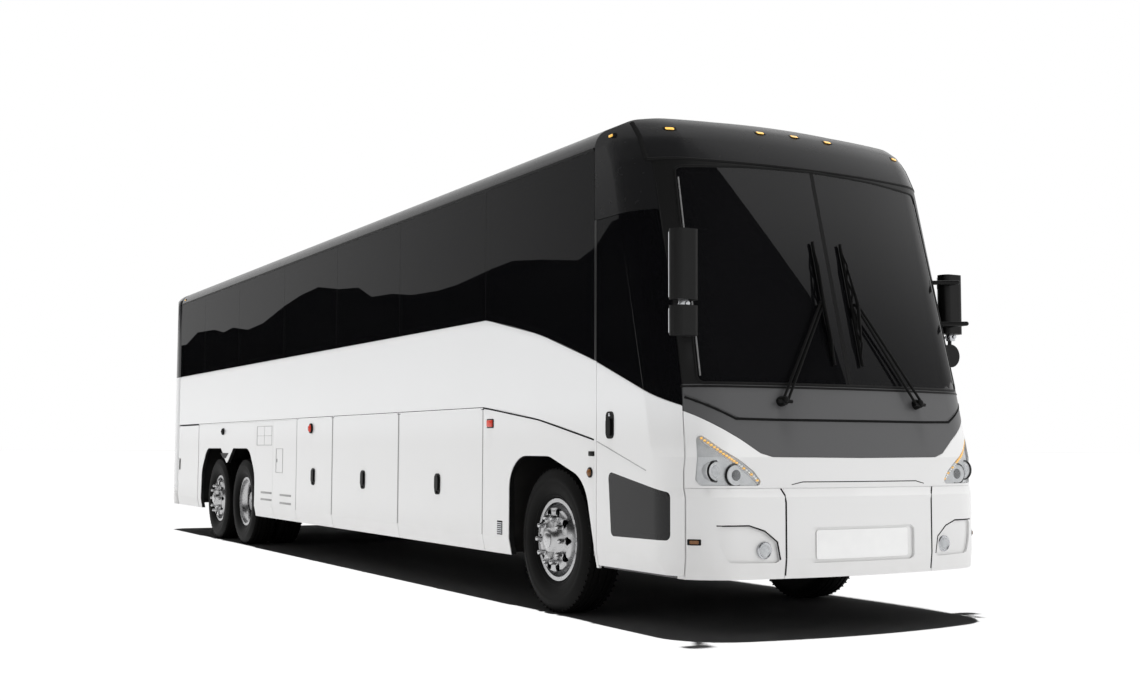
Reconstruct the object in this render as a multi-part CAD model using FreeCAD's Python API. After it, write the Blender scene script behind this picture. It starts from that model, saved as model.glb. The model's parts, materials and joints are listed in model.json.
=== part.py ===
import FreeCAD, Part
import math
import os

# A three-axle coach bus with a high deck. The front faces -Y, the entrance side is -X and +Z is up.
# Places along the bus are measured back from its foremost point, and every solid is moved forward by half the
# length when it is written, so the origin lies on the ground under the middle of the bus.

V = FreeCAD.Vector
OUT = "parts"
os.makedirs(OUT, exist_ok=True)

# Whole bus
LENGTH = 13840.0
WIDTH = 2590.0
HEIGHT = 3500.0
FRONT_OVERHANG = 1985.0
TAG_SPACING = 1225.0
REAR_OVERHANG = 2485.0  # behind the tag axle
WHEELBASE = LENGTH - FRONT_OVERHANG - TAG_SPACING - REAR_OVERHANG
HALF = WIDTH / 2

# Shell of the body
WALL = 45.0             # whole thickness of walls and doors
SKIN = 6.0              # outer layer, which is glass where there is a window
SEAM = 4.0              # groove between fixed panels
GAP = 6.0               # clearance round a moving panel
OVERRUN = 60.0          # how far a cutting shape passes the surface that it cuts
FIT = 0.3               # running clearance of pins, and the space between curved faces

# Heights on the side
SKIRT = 380.0           # lowest edge of the side panels
SKIRT_TUCK = 25.0       # how far that edge sits in from the side
SILL = 505.0            # crease above the skirt
CHARACTER = 1515.0      # line along the top of the luggage doors, and their hinge
BELT = 2220.0           # lower edge of the side glass
UPPER = HEIGHT - BELT
CANTRAIL_SHARE = 0.828125
COVE_SHARE = 17 / 22
CANTRAIL = BELT + CANTRAIL_SHARE * UPPER    # upper edge of the side glass
COVE_RADIUS = COVE_SHARE * (HEIGHT - CANTRAIL)

# Front, as seen from above and from the side
FRONT_RADIUS = 4500.0
CORNER_RADIUS = 450.0
NOSE_TOP = 1143.0       # where the front begins to lean back
COWL = 1613.0           # lower edge of the windscreen
COWL_SETBACK = 130.0
BUMPER_TOP = 948.0
LEDGE = 18.0            # how far the bumper stands out under the nose
LEDGE_TALL = 55.0
SCREEN_TOP_SHARE = 0.70703125
SCREEN_TOP = BELT + SCREEN_TOP_SHARE * UPPER
SCREEN_SETBACK = 525.0
FOREHEAD_DEPTH = 480.0
CHIN_TUCK = 15.0
FOREHEAD_SHARES = [(0.44, 0.18), (0.73, 0.36), (0.89, 0.54), (0.97, 0.74)]

# Rear, as seen from above and from the side
REAR_PROUD = 12.0       # lamps and hinge that stand out behind the body
BODY_END = LENGTH - REAR_PROUD
REAR_CORNER_RADIUS = 260.0
REAR_KNEE = 2000.0
REAR_LEAN = 130.0
REAR_ROUND = 280.0
REAR_ROUND_SHARES = [(0.5, 0.12), (0.8, 0.32), (0.94, 0.58)]

# Seams along the bus
PILLAR_B = 1290.0       # behind the entrance door and the driver's window
REAR_CAP_DEPTH = 490.0
SWEEP_START = 3040.0    # the belt drops ahead of here
CREASE_START = 3067.0   # the line above the luggage doors drops ahead of here
WINDOW_SEAM_SHARES = [0.297678, 0.441128, 0.590381, 0.746269, 0.88806]  # of the run of side glass
BAY_SEAM_SHARES = [0.354205, 0.576427, 0.722529]                        # of the wheelbase
SERVICE_SEAM_SHARE = 0.829343
SERVICE_SEAM_AHEAD = 660.0      # of the drive axle
REAR_DOOR_BEHIND = 848.0        # from the tag axle to the rear service doors

FRONT_AXLE = FRONT_OVERHANG
DRIVE_AXLE = FRONT_AXLE + WHEELBASE
TAG_AXLE = DRIVE_AXLE + TAG_SPACING
REAR_CAP = LENGTH - REAR_CAP_DEPTH
GLASS_RUN = REAR_CAP - PILLAR_B
WINDOW_SEAMS = [SWEEP_START] + [PILLAR_B + share * GLASS_RUN for share in WINDOW_SEAM_SHARES]
BAY_SEAMS = [CREASE_START] + [FRONT_AXLE + share * WHEELBASE for share in BAY_SEAM_SHARES]
SERVICE_SEAMS = [FRONT_AXLE + SERVICE_SEAM_SHARE * WHEELBASE, DRIVE_AXLE - SERVICE_SEAM_AHEAD]
REAR_DOOR_SEAM = TAG_AXLE + REAR_DOOR_BEHIND

# Wheels
TYRE_RADIUS = 530.0
TYRE_WIDTH = 300.0
TYRE_CENTRE = 1095.0    # across, of the outer tyres
TWIN_SPACING = 343.0
BEAD_RADIUS = 286.0
BEAD_SHARE = 0.62       # width of a tyre at its beads, in its whole width
RIM_LIP = 300.0


def box(x0, x1, d0, d1, z0, z1):
    """Block between two corners."""
    return Part.makeBox(x1 - x0, d1 - d0, z1 - z0, V(x0, d0, z0))


def rod(start, end, radius):
    """Round bar from one point to another."""
    run = end - start
    return Part.makeCylinder(radius, run.Length, start, run)


def fused(pieces):
    """Pieces joined into one shape, without the seams between coplanar faces."""
    pieces = list(pieces)
    if len(pieces) == 1:
        return pieces[0]
    return pieces[0].fuse(pieces[1:]).removeSplitter()


def group(pieces):
    """Separate solids kept side by side in one shape."""
    return Part.makeCompound(list(pieces))


def mirrored(shape):
    """The same shape on the other side of the bus."""
    return shape.mirror(V(0, 0, 0), V(1, 0, 0))


def loop(points, radius=0.0):
    """Closed wire through points in a plane, its corners rounded as far as their edges allow."""
    reach_share = 0.45
    straight_share = 0.48
    corners = []
    for index, point in enumerate(points):
        before = points[index - 1] - point
        after = points[(index + 1) % len(points)] - point
        half = before.getAngle(after) / 2
        reach = min(radius / math.tan(half), reach_share * before.Length, reach_share * after.Length)
        if reach <= 0 or half > straight_share * math.pi:
            corners.append([point])
            continue
        a = before.normalize()
        b = after.normalize()
        turn = reach * math.tan(half)
        middle = point + (a + b).normalize() * (turn / math.sin(half) - turn)
        corners.append([point + a * reach, middle, point + b * reach])
    edges = []
    for index, corner in enumerate(corners):
        if len(corner) == 3:
            edges.append(Part.Arc(*corner).toShape())
        start = corner[-1]
        end = corners[(index + 1) % len(corners)][0]
        if (end - start).Length > 0:
            edges.append(Part.LineSegment(start, end).toShape())
    return Part.Wire(edges)


def side_prism(points, x0, x1, radius=0.0):
    """Outline in (distance back, height), carried across from x0 to x1."""
    wire = loop([V(x0, d, z) for d, z in points], radius)
    return Part.Face(wire).extrude(V(x1 - x0, 0, 0))


def front_prism(points, d0, d1, radius=0.0):
    """Outline in (across, height), carried back from d0 to d1."""
    wire = loop([V(x, d0, z) for x, z in points], radius)
    return Part.Face(wire).extrude(V(0, d1 - d0, 0))


def plan_prism(points, z0, z1, radius=0.0):
    """Outline in (across, distance back), carried up from z0 to z1."""
    wire = loop([V(x, d, z0) for x, d in points], radius)
    return Part.Face(wire).extrude(V(0, 0, z1 - z0))


def turned(profile, d, z):
    """Closed outline in (across, radius), turned round a line across the bus."""
    wire = loop([V(x, d, z + r) for x, r in profile])
    return Part.Face(wire).revolve(V(0, d, z), V(1, 0, 0), 360)


# Envelope of the body

def section_wire(inset, low):
    """Cross-section of the body, set in by a thickness and cut off at its low edge."""
    half = HALF - inset
    tuck = SKIRT_TUCK * (SILL - low) / (SILL - SKIRT)
    shoulder = HALF - COVE_RADIUS
    round_off = COVE_RADIUS - inset
    slant = math.sqrt(0.5) * round_off
    top = CANTRAIL + round_off
    points = [V(half - tuck, 0, low), V(half, 0, SILL), V(half, 0, CANTRAIL)]
    right = [V(-p.x, 0, p.z) for p in reversed(points)]
    edges = [Part.makePolygon(points).Edges[0], Part.makePolygon(points).Edges[1]]
    edges.append(Part.Arc(points[2], V(shoulder + slant, 0, CANTRAIL + slant), V(shoulder, 0, top)).toShape())
    edges.append(Part.Arc(V(shoulder, 0, top), V(0, 0, HEIGHT - inset), V(-shoulder, 0, top)).toShape())
    edges.append(Part.Arc(V(-shoulder, 0, top), V(-shoulder - slant, 0, CANTRAIL + slant),
                          right[0]).toShape())
    edges.extend(Part.makePolygon(right).Edges)
    edges.append(Part.LineSegment(right[2], points[0]).toShape())
    return Part.Wire(edges)


def section_bar(inset, low, d0, d1):
    """The cross-section carried along the bus."""
    face = Part.Face(section_wire(inset, low))
    face.translate(V(0, d0, 0))
    return face.extrude(V(0, d1 - d0, 0))


def plan_front(setback, inset, z):
    """Plan of the body, with its bowed front and round corners, open far behind the front."""
    centre_x = HALF - CORNER_RADIUS
    reach = FRONT_RADIUS - CORNER_RADIUS
    centre_d = FRONT_RADIUS - math.sqrt(reach * reach - centre_x * centre_x) + setback
    big = FRONT_RADIUS - inset
    small = CORNER_RADIUS - inset
    tangent = math.asin(centre_x / reach)
    middle = (tangent + math.pi / 2) / 2
    far = setback + PILLAR_B + FRONT_RADIUS

    def corner(angle, side):
        return V(side * (centre_x + small * math.sin(angle)), centre_d - small * math.cos(angle), z)

    def bow(side):
        return V(side * big * math.sin(tangent), setback + FRONT_RADIUS - big * math.cos(tangent), z)

    edges = [Part.LineSegment(V(HALF - inset, far, z), corner(math.pi / 2, 1)).toShape()]
    edges.append(Part.Arc(corner(math.pi / 2, 1), corner(middle, 1), bow(1)).toShape())
    edges.append(Part.Arc(bow(1), V(0, setback + inset, z), bow(-1)).toShape())
    edges.append(Part.Arc(bow(-1), corner(middle, -1), corner(math.pi / 2, -1)).toShape())
    edges.append(Part.LineSegment(corner(math.pi / 2, -1), V(inset - HALF, far, z)).toShape())
    edges.append(Part.LineSegment(V(inset - HALF, far, z), V(HALF - inset, far, z)).toShape())
    return Part.Face(Part.Wire(edges))


def front_setbacks():
    """Heights with how far back the front lies there, on its middle line."""
    rise = HEIGHT - SCREEN_TOP
    table = [(SKIRT, CHIN_TUCK), (SILL, 0), (BUMPER_TOP - LEDGE_TALL, 0), (BUMPER_TOP, LEDGE),
             (NOSE_TOP, LEDGE)]
    table += [(COWL, COWL_SETBACK), (SCREEN_TOP, SCREEN_SETBACK)]
    table += [(SCREEN_TOP + rise * up, SCREEN_SETBACK + FOREHEAD_DEPTH * back) for up,
              back in FOREHEAD_SHARES]
    table.append((HEIGHT + OVERRUN, SCREEN_SETBACK + FOREHEAD_DEPTH))
    return table


def setback_at(height):
    """How far back the middle of the front lies at a height."""
    table = front_setbacks()
    for (z0, s0), (z1, s1) in zip(table, table[1:]):
        if height <= z1:
            return s0 + (s1 - s0) * (height - z0) / (z1 - z0)
    return table[-1][1]


def front_depth(x, height, inset=0.0):
    """Distance back of the front surface at a place across the bus and a height."""
    centre_x = HALF - CORNER_RADIUS
    reach = FRONT_RADIUS - CORNER_RADIUS
    tangent = math.asin(centre_x / reach)
    big = FRONT_RADIUS - inset
    if abs(x) <= big * math.sin(tangent):
        return setback_at(height) + FRONT_RADIUS - math.sqrt(big * big - x * x)
    small = CORNER_RADIUS - inset
    centre_d = FRONT_RADIUS - math.sqrt(reach * reach - centre_x * centre_x)
    across = min(abs(x) - centre_x, small)
    return setback_at(height) + centre_d - math.sqrt(small * small - across * across)


def front_envelope(inset, low):
    """Solid of the body ahead of the pillars behind the door."""
    slabs = []
    table = front_setbacks()
    for (z0, s0), (z1, s1) in zip(table, table[1:]):
        if z0 == SKIRT:
            s0 += (s0 - s1) * (SKIRT - low) / (z1 - z0)
            z0 = low
        slabs.append(plan_front(s0, inset, z0).extrude(V(0, s1 - s0, z1 - z0)))
    stack = slabs[0].fuse(slabs[1:])
    return stack.common(section_bar(inset, low, -OVERRUN, PILLAR_B))


def rear_envelope(inset, low):
    """Solid of the body behind the rear cap's seam."""
    end = BODY_END - inset
    top_bend = HEIGHT - REAR_ROUND
    outline = [(-OVERRUN, low), (end, low), (end, REAR_KNEE), (end - REAR_LEAN, top_bend)]
    for up, forward in REAR_ROUND_SHARES:
        outline.append((end - REAR_LEAN - REAR_ROUND * forward, top_bend + REAR_ROUND * up))
    outline.append((end - REAR_LEAN - REAR_ROUND, HEIGHT))
    outline.append((end - REAR_LEAN - REAR_ROUND, HEIGHT + OVERRUN))
    outline.append((-OVERRUN, HEIGHT + OVERRUN))
    side = side_prism(outline, -WIDTH, WIDTH)
    half = HALF - inset
    corner = REAR_CORNER_RADIUS - inset
    slant = corner * (1 - math.sqrt(0.5))
    front = REAR_CAP - OVERRUN
    edges = [Part.LineSegment(V(half, front, low), V(half, end - corner, low)).toShape()]
    edges.append(Part.Arc(V(half, end - corner, low), V(half - slant, end - slant, low),
                          V(half - corner, end, low)).toShape())
    edges.append(Part.LineSegment(V(half - corner, end, low), V(corner - half, end, low)).toShape())
    edges.append(Part.Arc(V(corner - half, end, low), V(slant - half, end - slant, low),
                          V(-half, end - corner, low)).toShape())
    edges.append(Part.LineSegment(V(-half, end - corner, low), V(-half, front, low)).toShape())
    edges.append(Part.LineSegment(V(-half, front, low), V(half, front, low)).toShape())
    plan = Part.Face(Part.Wire(edges)).extrude(V(0, 0, HEIGHT + OVERRUN - low))
    bar = section_bar(inset, low, REAR_CAP, LENGTH + OVERRUN)
    return bar.common(plan).common(side)


def layers(envelope):
    """The outer layer, the rest of the wall and both together, cut from an envelope."""
    outer = envelope(0, SKIRT)
    under_skin = envelope(SKIN, SKIRT - OVERRUN)
    inside = envelope(WALL, SKIRT - OVERRUN)
    whole = outer.cut(inside)
    return outer.cut(under_skin), whole.common(under_skin), whole


def panel(shell, area):
    """Fixed panel: the wall inside an area, with half a groove cut round its outer layer."""
    skin, whole = shell[0], shell[2]
    return whole.common(area(0)).cut(skin.common(area(0).cut(area(SEAM / 2))))


FRONT_SHELL = layers(front_envelope)
REAR_SHELL = layers(rear_envelope)

# Lines on the side

SWEEP_MIDDLE = (2110.0, 2039.0)
SWEEP_END = (1260.0, 1792.0)
SWEEP_TIP = (0.0, 1344.0)
CREASE_MIDDLE = (2110.0, 1402.0)
CREASE_END = (1260.0, 1245.0)
CREASE_TIP = (0.0, 866.0)


def below_line(level, start, middle, end, tip, shift):
    """Everything below a line that runs level along the side and drops towards the front."""
    floor = -OVERRUN
    up = [V(-WIDTH, d, z + shift) for d, z in (tip, end, middle, (start, level), (LENGTH + OVERRUN, level))]
    low = [V(-WIDTH, LENGTH + OVERRUN, floor), V(-WIDTH, tip[0], floor)]
    edges = [Part.LineSegment(up[0], up[1]).toShape()]
    edges.append(Part.Arc(up[1], up[2], up[3]).toShape())
    edges.append(Part.LineSegment(up[3], up[4]).toShape())
    edges.append(Part.LineSegment(up[4], low[0]).toShape())
    edges.append(Part.LineSegment(low[0], low[1]).toShape())
    edges.append(Part.LineSegment(low[1], up[0]).toShape())
    return Part.Face(Part.Wire(edges)).extrude(V(2 * WIDTH, 0, 0))


def below_belt(shift=0.0):
    return below_line(BELT, SWEEP_START, SWEEP_MIDDLE, SWEEP_END, SWEEP_TIP, shift)


def below_crease(shift=0.0):
    return below_line(CHARACTER, CREASE_START, CREASE_MIDDLE, CREASE_END, CREASE_TIP, shift)


# Hinges along the character line

HINGE_EDGE = 12.0       # from a hinge's axis to the leaf
HINGE_SEAT = 10.0       # from a hinge's axis to the body
KNUCKLE = 5.5
PIN = 3.0
LUG = 30.0


def side_hinge(d0, d1):
    """Pin and end lugs on the body, and the sleeve on the door, of a hinge along the side."""
    axis_d0 = d0 + GAP
    axis_d1 = d1 - GAP
    back = HALF - SKIN
    pin = rod(V(HALF, axis_d0, CHARACTER), V(HALF, axis_d1, CHARACTER), PIN)
    lugs = []
    for start, end in ((axis_d0, axis_d0 + LUG), (axis_d1 - LUG, axis_d1)):
        lugs.append(rod(V(HALF, start, CHARACTER), V(HALF, end, CHARACTER), KNUCKLE))
        lugs.append(box(back, HALF, start, end, CHARACTER, CHARACTER + HINGE_SEAT))
    body = fused([pin] + lugs)
    inner0 = axis_d0 + LUG + GAP
    inner1 = axis_d1 - LUG - GAP
    sleeve = rod(V(HALF, inner0, CHARACTER), V(HALF, inner1, CHARACTER), KNUCKLE)
    web = box(back, HALF, inner0, inner1, CHARACTER - HINGE_EDGE, CHARACTER)
    hole = rod(V(HALF, axis_d0, CHARACTER), V(HALF, axis_d1, CHARACTER), PIN + FIT)
    return body, fused([sleeve, web]).cut(hole)


def side_slab(d0, d1, z0, z1, inner=WALL, outer=0.0):
    """Part of the left wall between two heights, following the tuck of the skirt."""
    face_in = HALF - inner
    face_out = HALF - outer
    if z0 >= SILL:
        return box(face_in, face_out, d0, d1, z0, z1)
    tuck = SKIRT_TUCK * (SILL - z0) / (SILL - SKIRT)
    outline = [(face_in - tuck, z0), (face_out - tuck, z0), (face_out, SILL)]
    outline += [(face_out, z1), (face_in, z1), (face_in, SILL)]
    return front_prism(outline, d0, d1)


# Lower panels

ARCH_AHEAD = 700.0
ARCH_BEHIND = 615.0
ARCH_TOP = 1140.0
ARCH_SLOPE_START = 35.0         # ahead of the axle, where the arch's top begins to drop
ARCH_SLOPE_END = 565.0
ARCH_SLOPE_HEIGHT = 980.0
ARCH_SHOULDER = 1000.0
ARCH_REAR_TOP = 435.0
ARCH_RADIUS = 70.0
REAR_ARCH_REACH = 690.0         # from the outer axles to the ends of the rear arch
REAR_ARCH_TOP = 1190.0
REAR_ARCH_SHOULDER = 900.0
REAR_ARCH_FLAT = 400.0
REAR_ARCH_DIP = 990.0
REAR_ARCH_DIP_HALF = 290.0
REAR_ARCH_LEAN = 40.0


def front_arch(x0, x1):
    """Opening over a front wheel."""
    a = FRONT_AXLE
    low = SKIRT - OVERRUN
    points = [(a - ARCH_AHEAD, low), (a - ARCH_AHEAD, SILL), (a - ARCH_SLOPE_END, ARCH_SLOPE_HEIGHT)]
    points += [(a - ARCH_SLOPE_START, ARCH_TOP), (a + ARCH_REAR_TOP, ARCH_TOP)]
    points += [(a + ARCH_BEHIND, ARCH_SHOULDER), (a + ARCH_BEHIND, low)]
    return side_prism(points, x0, x1, ARCH_RADIUS)


def rear_arch(x0, x1):
    """Opening over the drive and tag wheels, with a dip between them."""
    front = DRIVE_AXLE - REAR_ARCH_REACH
    rear = TAG_AXLE + REAR_ARCH_REACH
    middle = (DRIVE_AXLE + TAG_AXLE) / 2
    low = SKIRT - OVERRUN
    points = [(front, low), (front + REAR_ARCH_LEAN, REAR_ARCH_SHOULDER),
              (DRIVE_AXLE - REAR_ARCH_FLAT, REAR_ARCH_TOP)]
    points += [(middle - REAR_ARCH_DIP_HALF, REAR_ARCH_TOP), (middle, REAR_ARCH_DIP)]
    points += [(middle + REAR_ARCH_DIP_HALF, REAR_ARCH_TOP), (TAG_AXLE + REAR_ARCH_FLAT, REAR_ARCH_TOP)]
    points += [(rear - REAR_ARCH_LEAN, REAR_ARCH_SHOULDER), (rear, low)]
    return side_prism(points, x0, x1, ARCH_RADIUS)


PANEL_TOP = CHARACTER - HINGE_EDGE
WALL_FOOT = CHARACTER + HINGE_SEAT


def fixed_panel(d0, d1):
    """Fixed lower panel of the left side, its wall reaching up behind the line to the wall above."""
    half = SEAM / 2
    skin = side_slab(d0 + half, d1 - half, SKIRT, PANEL_TOP, SKIN)
    core = side_slab(d0, d1, SKIRT, WALL_FOOT, WALL, SKIN)
    return fused([skin, core])


def lower_panels():
    """Fixed lower panels of the left side behind the front corner."""
    # the body side of a moving panel stands back by the gap that the panel keeps
    arch = fixed_panel(PILLAR_B, BAY_SEAMS[0]).common(below_crease(-SEAM / 2))
    arch = arch.cut(front_arch(0, WIDTH))
    service = [fixed_panel(BAY_SEAMS[-1], SERVICE_SEAMS[0]), fixed_panel(SERVICE_SEAMS[0], SERVICE_SEAMS[1])]
    rear = fixed_panel(SERVICE_SEAMS[1], REAR_DOOR_SEAM - HINGE_SEAT).cut(rear_arch(0, WIDTH))
    hinge = upright_hinge(REAR_DOOR_SEAM, SERVICE_HINGE_LOW, SERVICE_HINGE_HIGH)[0]
    return [arch] + service + [fused([rear, hinge])]


# Side walls

PILLAR = 110.0
HEADER = 90.0
CAPPING = 55.0


def windows_cut():
    """Openings behind the side glass."""
    seams = [PILLAR_B] + WINDOW_SEAMS + [REAR_CAP]
    holes = []
    for start, end in zip(seams, seams[1:]):
        hole = box(0, WIDTH, start + PILLAR / 2, end - PILLAR / 2, SILL, CANTRAIL - HEADER)
        holes.append(hole.cut(below_belt(CAPPING)))
    return holes


def side_wall():
    """Left wall from the character line to the cantrail, with its pillars and the hinge bead."""
    core = side_slab(PILLAR_B, REAR_CAP, SILL, CANTRAIL, WALL, SKIN).cut(below_crease(HINGE_SEAT))
    skin = side_slab(PILLAR_B, REAR_CAP, SILL, BELT, SKIN).cut(below_crease(HINGE_SEAT))
    skin = skin.common(below_belt(-SEAM / 2))
    wall = core.fuse(skin).cut(windows_cut())
    # over the front arch panel the wall comes down to meet it
    lip = side_slab(PILLAR_B, CREASE_START, SILL, WALL_FOOT, WALL, SKIN).cut(below_crease(-SEAM / 2))
    pieces = [wall, lip]
    start = BAY_SEAMS[-1] + GAP
    end = REAR_DOOR_SEAM - HINGE_SEAT
    pieces.append(rod(V(HALF, start, CHARACTER), V(HALF, end, CHARACTER), KNUCKLE))
    pieces.append(box(HALF - SKIN, HALF, start, end, CHARACTER, WALL_FOOT))
    for start, end in zip(BAY_SEAMS, BAY_SEAMS[1:]):
        pieces.append(side_hinge(start, end)[0])
    return fused(pieces)


def side_windows():
    """Panes of the left side, flush with the wall."""
    seams = [PILLAR_B] + WINDOW_SEAMS + [REAR_CAP]
    half = SEAM / 2
    panes = []
    for start, end in zip(seams, seams[1:]):
        pane = box(HALF - SKIN, HALF, start + half, end - half, SILL, CANTRAIL - half)
        panes.append(pane.cut(below_belt(half)))
    return panes


LATCH_WIDE = 60.0
LATCH_TALL = 170.0
LATCH_HEIGHT = 890.0
LATCH_DEEP = 14.0


def bay_door(d0, d1):
    """Luggage door of the left side, hung on the character line, with a pocket for its latch."""
    leaf = side_slab(d0 + GAP / 2, d1 - GAP / 2, SKIRT, PANEL_TOP)
    middle = (d0 + d1) / 2
    pocket = box(HALF - LATCH_DEEP, HALF + OVERRUN, middle - LATCH_WIDE / 2, middle + LATCH_WIDE / 2,
                 LATCH_HEIGHT - LATCH_TALL / 2, LATCH_HEIGHT + LATCH_TALL / 2)
    return fused([leaf.cut(pocket), side_hinge(d0, d1)[1]])


def upright_hinge(d, z0, z1):
    """Pin and end lugs on the body, and the sleeve on the door, of a hinge that stands at the side."""
    back = HALF - SKIN
    pin = rod(V(HALF, d, z0), V(HALF, d, z1), PIN)
    lugs = []
    for start, end in ((z0, z0 + LUG), (z1 - LUG, z1)):
        lugs.append(rod(V(HALF, d, start), V(HALF, d, end), KNUCKLE))
        lugs.append(box(back, HALF, d - HINGE_SEAT, d, start, end))
    sleeve = rod(V(HALF, d, z0 + LUG + GAP), V(HALF, d, z1 - LUG - GAP), KNUCKLE)
    web = box(back, HALF, d, d + HINGE_EDGE, z0 + LUG + GAP, z1 - LUG - GAP)
    hole = rod(V(HALF, d, z0), V(HALF, d, z1), PIN + FIT)
    return fused([pin] + lugs), fused([sleeve, web]).cut(hole)


SERVICE_HINGE_LOW = SILL + LUG
SERVICE_HINGE_HIGH = PANEL_TOP - LUG
LOUVRES = 14
LOUVRE_SHARE = 0.55     # of their pitch that is open
LOUVRE_FRAME = 90.0
LOUVRE_MARGIN = 60.0


def service_door(louvres):
    """Door behind the tag wheel on the left side, hung at its front edge."""
    leaf = side_slab(REAR_DOOR_SEAM + HINGE_EDGE, REAR_CAP - GAP, SKIRT, PANEL_TOP)
    if louvres:
        low = SILL + LOUVRE_MARGIN
        pitch = (PANEL_TOP - LOUVRE_MARGIN - low) / LOUVRES
        start = REAR_DOOR_SEAM + LOUVRE_FRAME
        end = REAR_CAP - LOUVRE_FRAME
        slots = []
        for index in range(LOUVRES):
            z = low + index * pitch
            slots.append(box(HALF - 2 * WALL, WIDTH, start, end, z, z + LOUVRE_SHARE * pitch))
        leaf = leaf.cut(slots)
    return fused([leaf, upright_hinge(REAR_DOOR_SEAM, SERVICE_HINGE_LOW, SERVICE_HINGE_HIGH)[1]])


# Front corner: door, driver's window and panels

DOOR_LOW = 400.0
DOOR_TOP_SHARE = 0.4390625
DOOR_TOP = BELT + DOOR_TOP_SHARE * UPPER
DOOR_REAR = 1262.0
POST_FOOT = 1212.0      # across, the seam between the door and the front, low down
POST_MIDDLE = 1180.0
POST_HEAD = 1165.0
POST_FOOT_TOP = 1060.0
POST_MIDDLE_HEIGHT = 1600.0
POST_HEAD_HEIGHT = 2200.0


def beside(side, shift):
    """Region on one side of the seam between the front and the door or the driver's corner."""
    seam = [(POST_FOOT, SKIRT - 2 * OVERRUN), (POST_FOOT, POST_FOOT_TOP), (POST_MIDDLE, POST_MIDDLE_HEIGHT)]
    seam += [(POST_HEAD, POST_HEAD_HEIGHT), (POST_HEAD, HEIGHT + 2 * OVERRUN)]
    points = [(side * (x + shift), z) for x, z in seam]
    points += [(side * WIDTH, HEIGHT + 2 * OVERRUN), (side * WIDTH, SKIRT - 2 * OVERRUN)]
    return front_prism(points, -2 * OVERRUN, LENGTH + OVERRUN)


def between(shift):
    """Region of the front between its two seams."""
    seam = [(POST_FOOT, SKIRT - 2 * OVERRUN), (POST_FOOT, POST_FOOT_TOP), (POST_MIDDLE, POST_MIDDLE_HEIGHT)]
    seam += [(POST_HEAD, POST_HEAD_HEIGHT), (POST_HEAD, HEIGHT + 2 * OVERRUN)]
    points = [(x - shift, z) for x, z in seam] + [(shift - x, z) for x, z in reversed(seam)]
    return front_prism(points, -2 * OVERRUN, LENGTH + OVERRUN)


def band(z0, z1, d1=PILLAR_B):
    """Slice of space between two heights, ahead of a distance."""
    return box(-WIDTH, WIDTH, -2 * OVERRUN, d1, z0, z1)


DOOR_PANE_LOW = [(1100.0, 1044.0), (380.0, 917.0), (380.0, 617.0), (1060.0, 610.0)]
DOOR_PANE_RADIUS = 40.0
FRAME = 55.0


def door_area(gap):
    """Space that the entrance door fills, on the left side before it is mirrored."""
    side = beside(1, gap)
    return side.common(box(0, WIDTH, -2 * OVERRUN, DOOR_REAR - gap, DOOR_LOW, DOOR_TOP - gap))


def door_inner(frame):
    """The middle of the door's upper pane, inside its frame."""
    side = beside(1, frame)
    area = side.common(box(0, WIDTH, -2 * OVERRUN, DOOR_REAR - frame, DOOR_LOW, DOOR_TOP - frame))
    return area.cut(below_belt(frame))


ARM_POST_X = 1140.0
ARM_POST_D = 440.0
ARM_REACH = 605.0
ARM_RADIUS = 20.0
ARM_PIN = 10.0
ARM_HEIGHTS = (570.0, 1040.0)
ARM_TALL = 24.0
ARM_WIDE = 32.0
BRACKET_TALL = 16.0
STEP_TOP = 400.0


def entrance_door():
    """Leaf of the entrance door on the right, with the brackets for its two arms."""
    skin, core = FRONT_SHELL[:2]
    area = door_area(GAP)
    leaf = fused([core.common(area), skin.common(area).common(below_belt(-SEAM / 2))])
    low_hole = side_prism(DOOR_PANE_LOW, 0, WIDTH, DOOR_PANE_RADIUS)
    middle_d = sum(d for d, z in DOOR_PANE_LOW) / len(DOOR_PANE_LOW)
    middle_z = sum(z for d, z in DOOR_PANE_LOW) / len(DOOR_PANE_LOW)
    inner_low = []
    for d, z in DOOR_PANE_LOW:
        inner_low.append((d + math.copysign(FRAME / 2, middle_d - d),
                          z + math.copysign(FRAME / 2, middle_z - z)))
    leaf = leaf.cut(skin.common(low_hole))
    leaf = leaf.cut(core.common(side_prism(inner_low, 0, WIDTH, DOOR_PANE_RADIUS)))
    leaf = leaf.cut(core.common(door_inner(FRAME)))
    pieces = [leaf]
    hinge_d = ARM_POST_D + ARM_REACH
    for height in ARM_HEIGHTS:
        for z in (height + ARM_TALL / 2 + FIT, height - ARM_TALL / 2 - FIT - BRACKET_TALL):
            plate = box(ARM_POST_X - ARM_WIDE / 2, HALF - WALL / 2, hinge_d - ARM_WIDE / 2,
                        hinge_d + ARM_WIDE / 2,
                        z, z + BRACKET_TALL)
            pieces.append(plate)
        low = height - ARM_TALL / 2 - FIT - BRACKET_TALL
        high = height + ARM_TALL / 2 + FIT + BRACKET_TALL
        pieces.append(rod(V(ARM_POST_X, hinge_d, low), V(ARM_POST_X, hinge_d, high), ARM_PIN))
    return mirrored(fused(pieces))


def entrance_door_glass():
    """Upper and lower panes of the entrance door."""
    skin = FRONT_SHELL[0]
    upper = skin.common(door_area(GAP)).cut(below_belt(SEAM / 2))
    lower = skin.common(side_prism(DOOR_PANE_LOW, 0, WIDTH, DOOR_PANE_RADIUS))
    return mirrored(group([upper, lower]))


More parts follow.
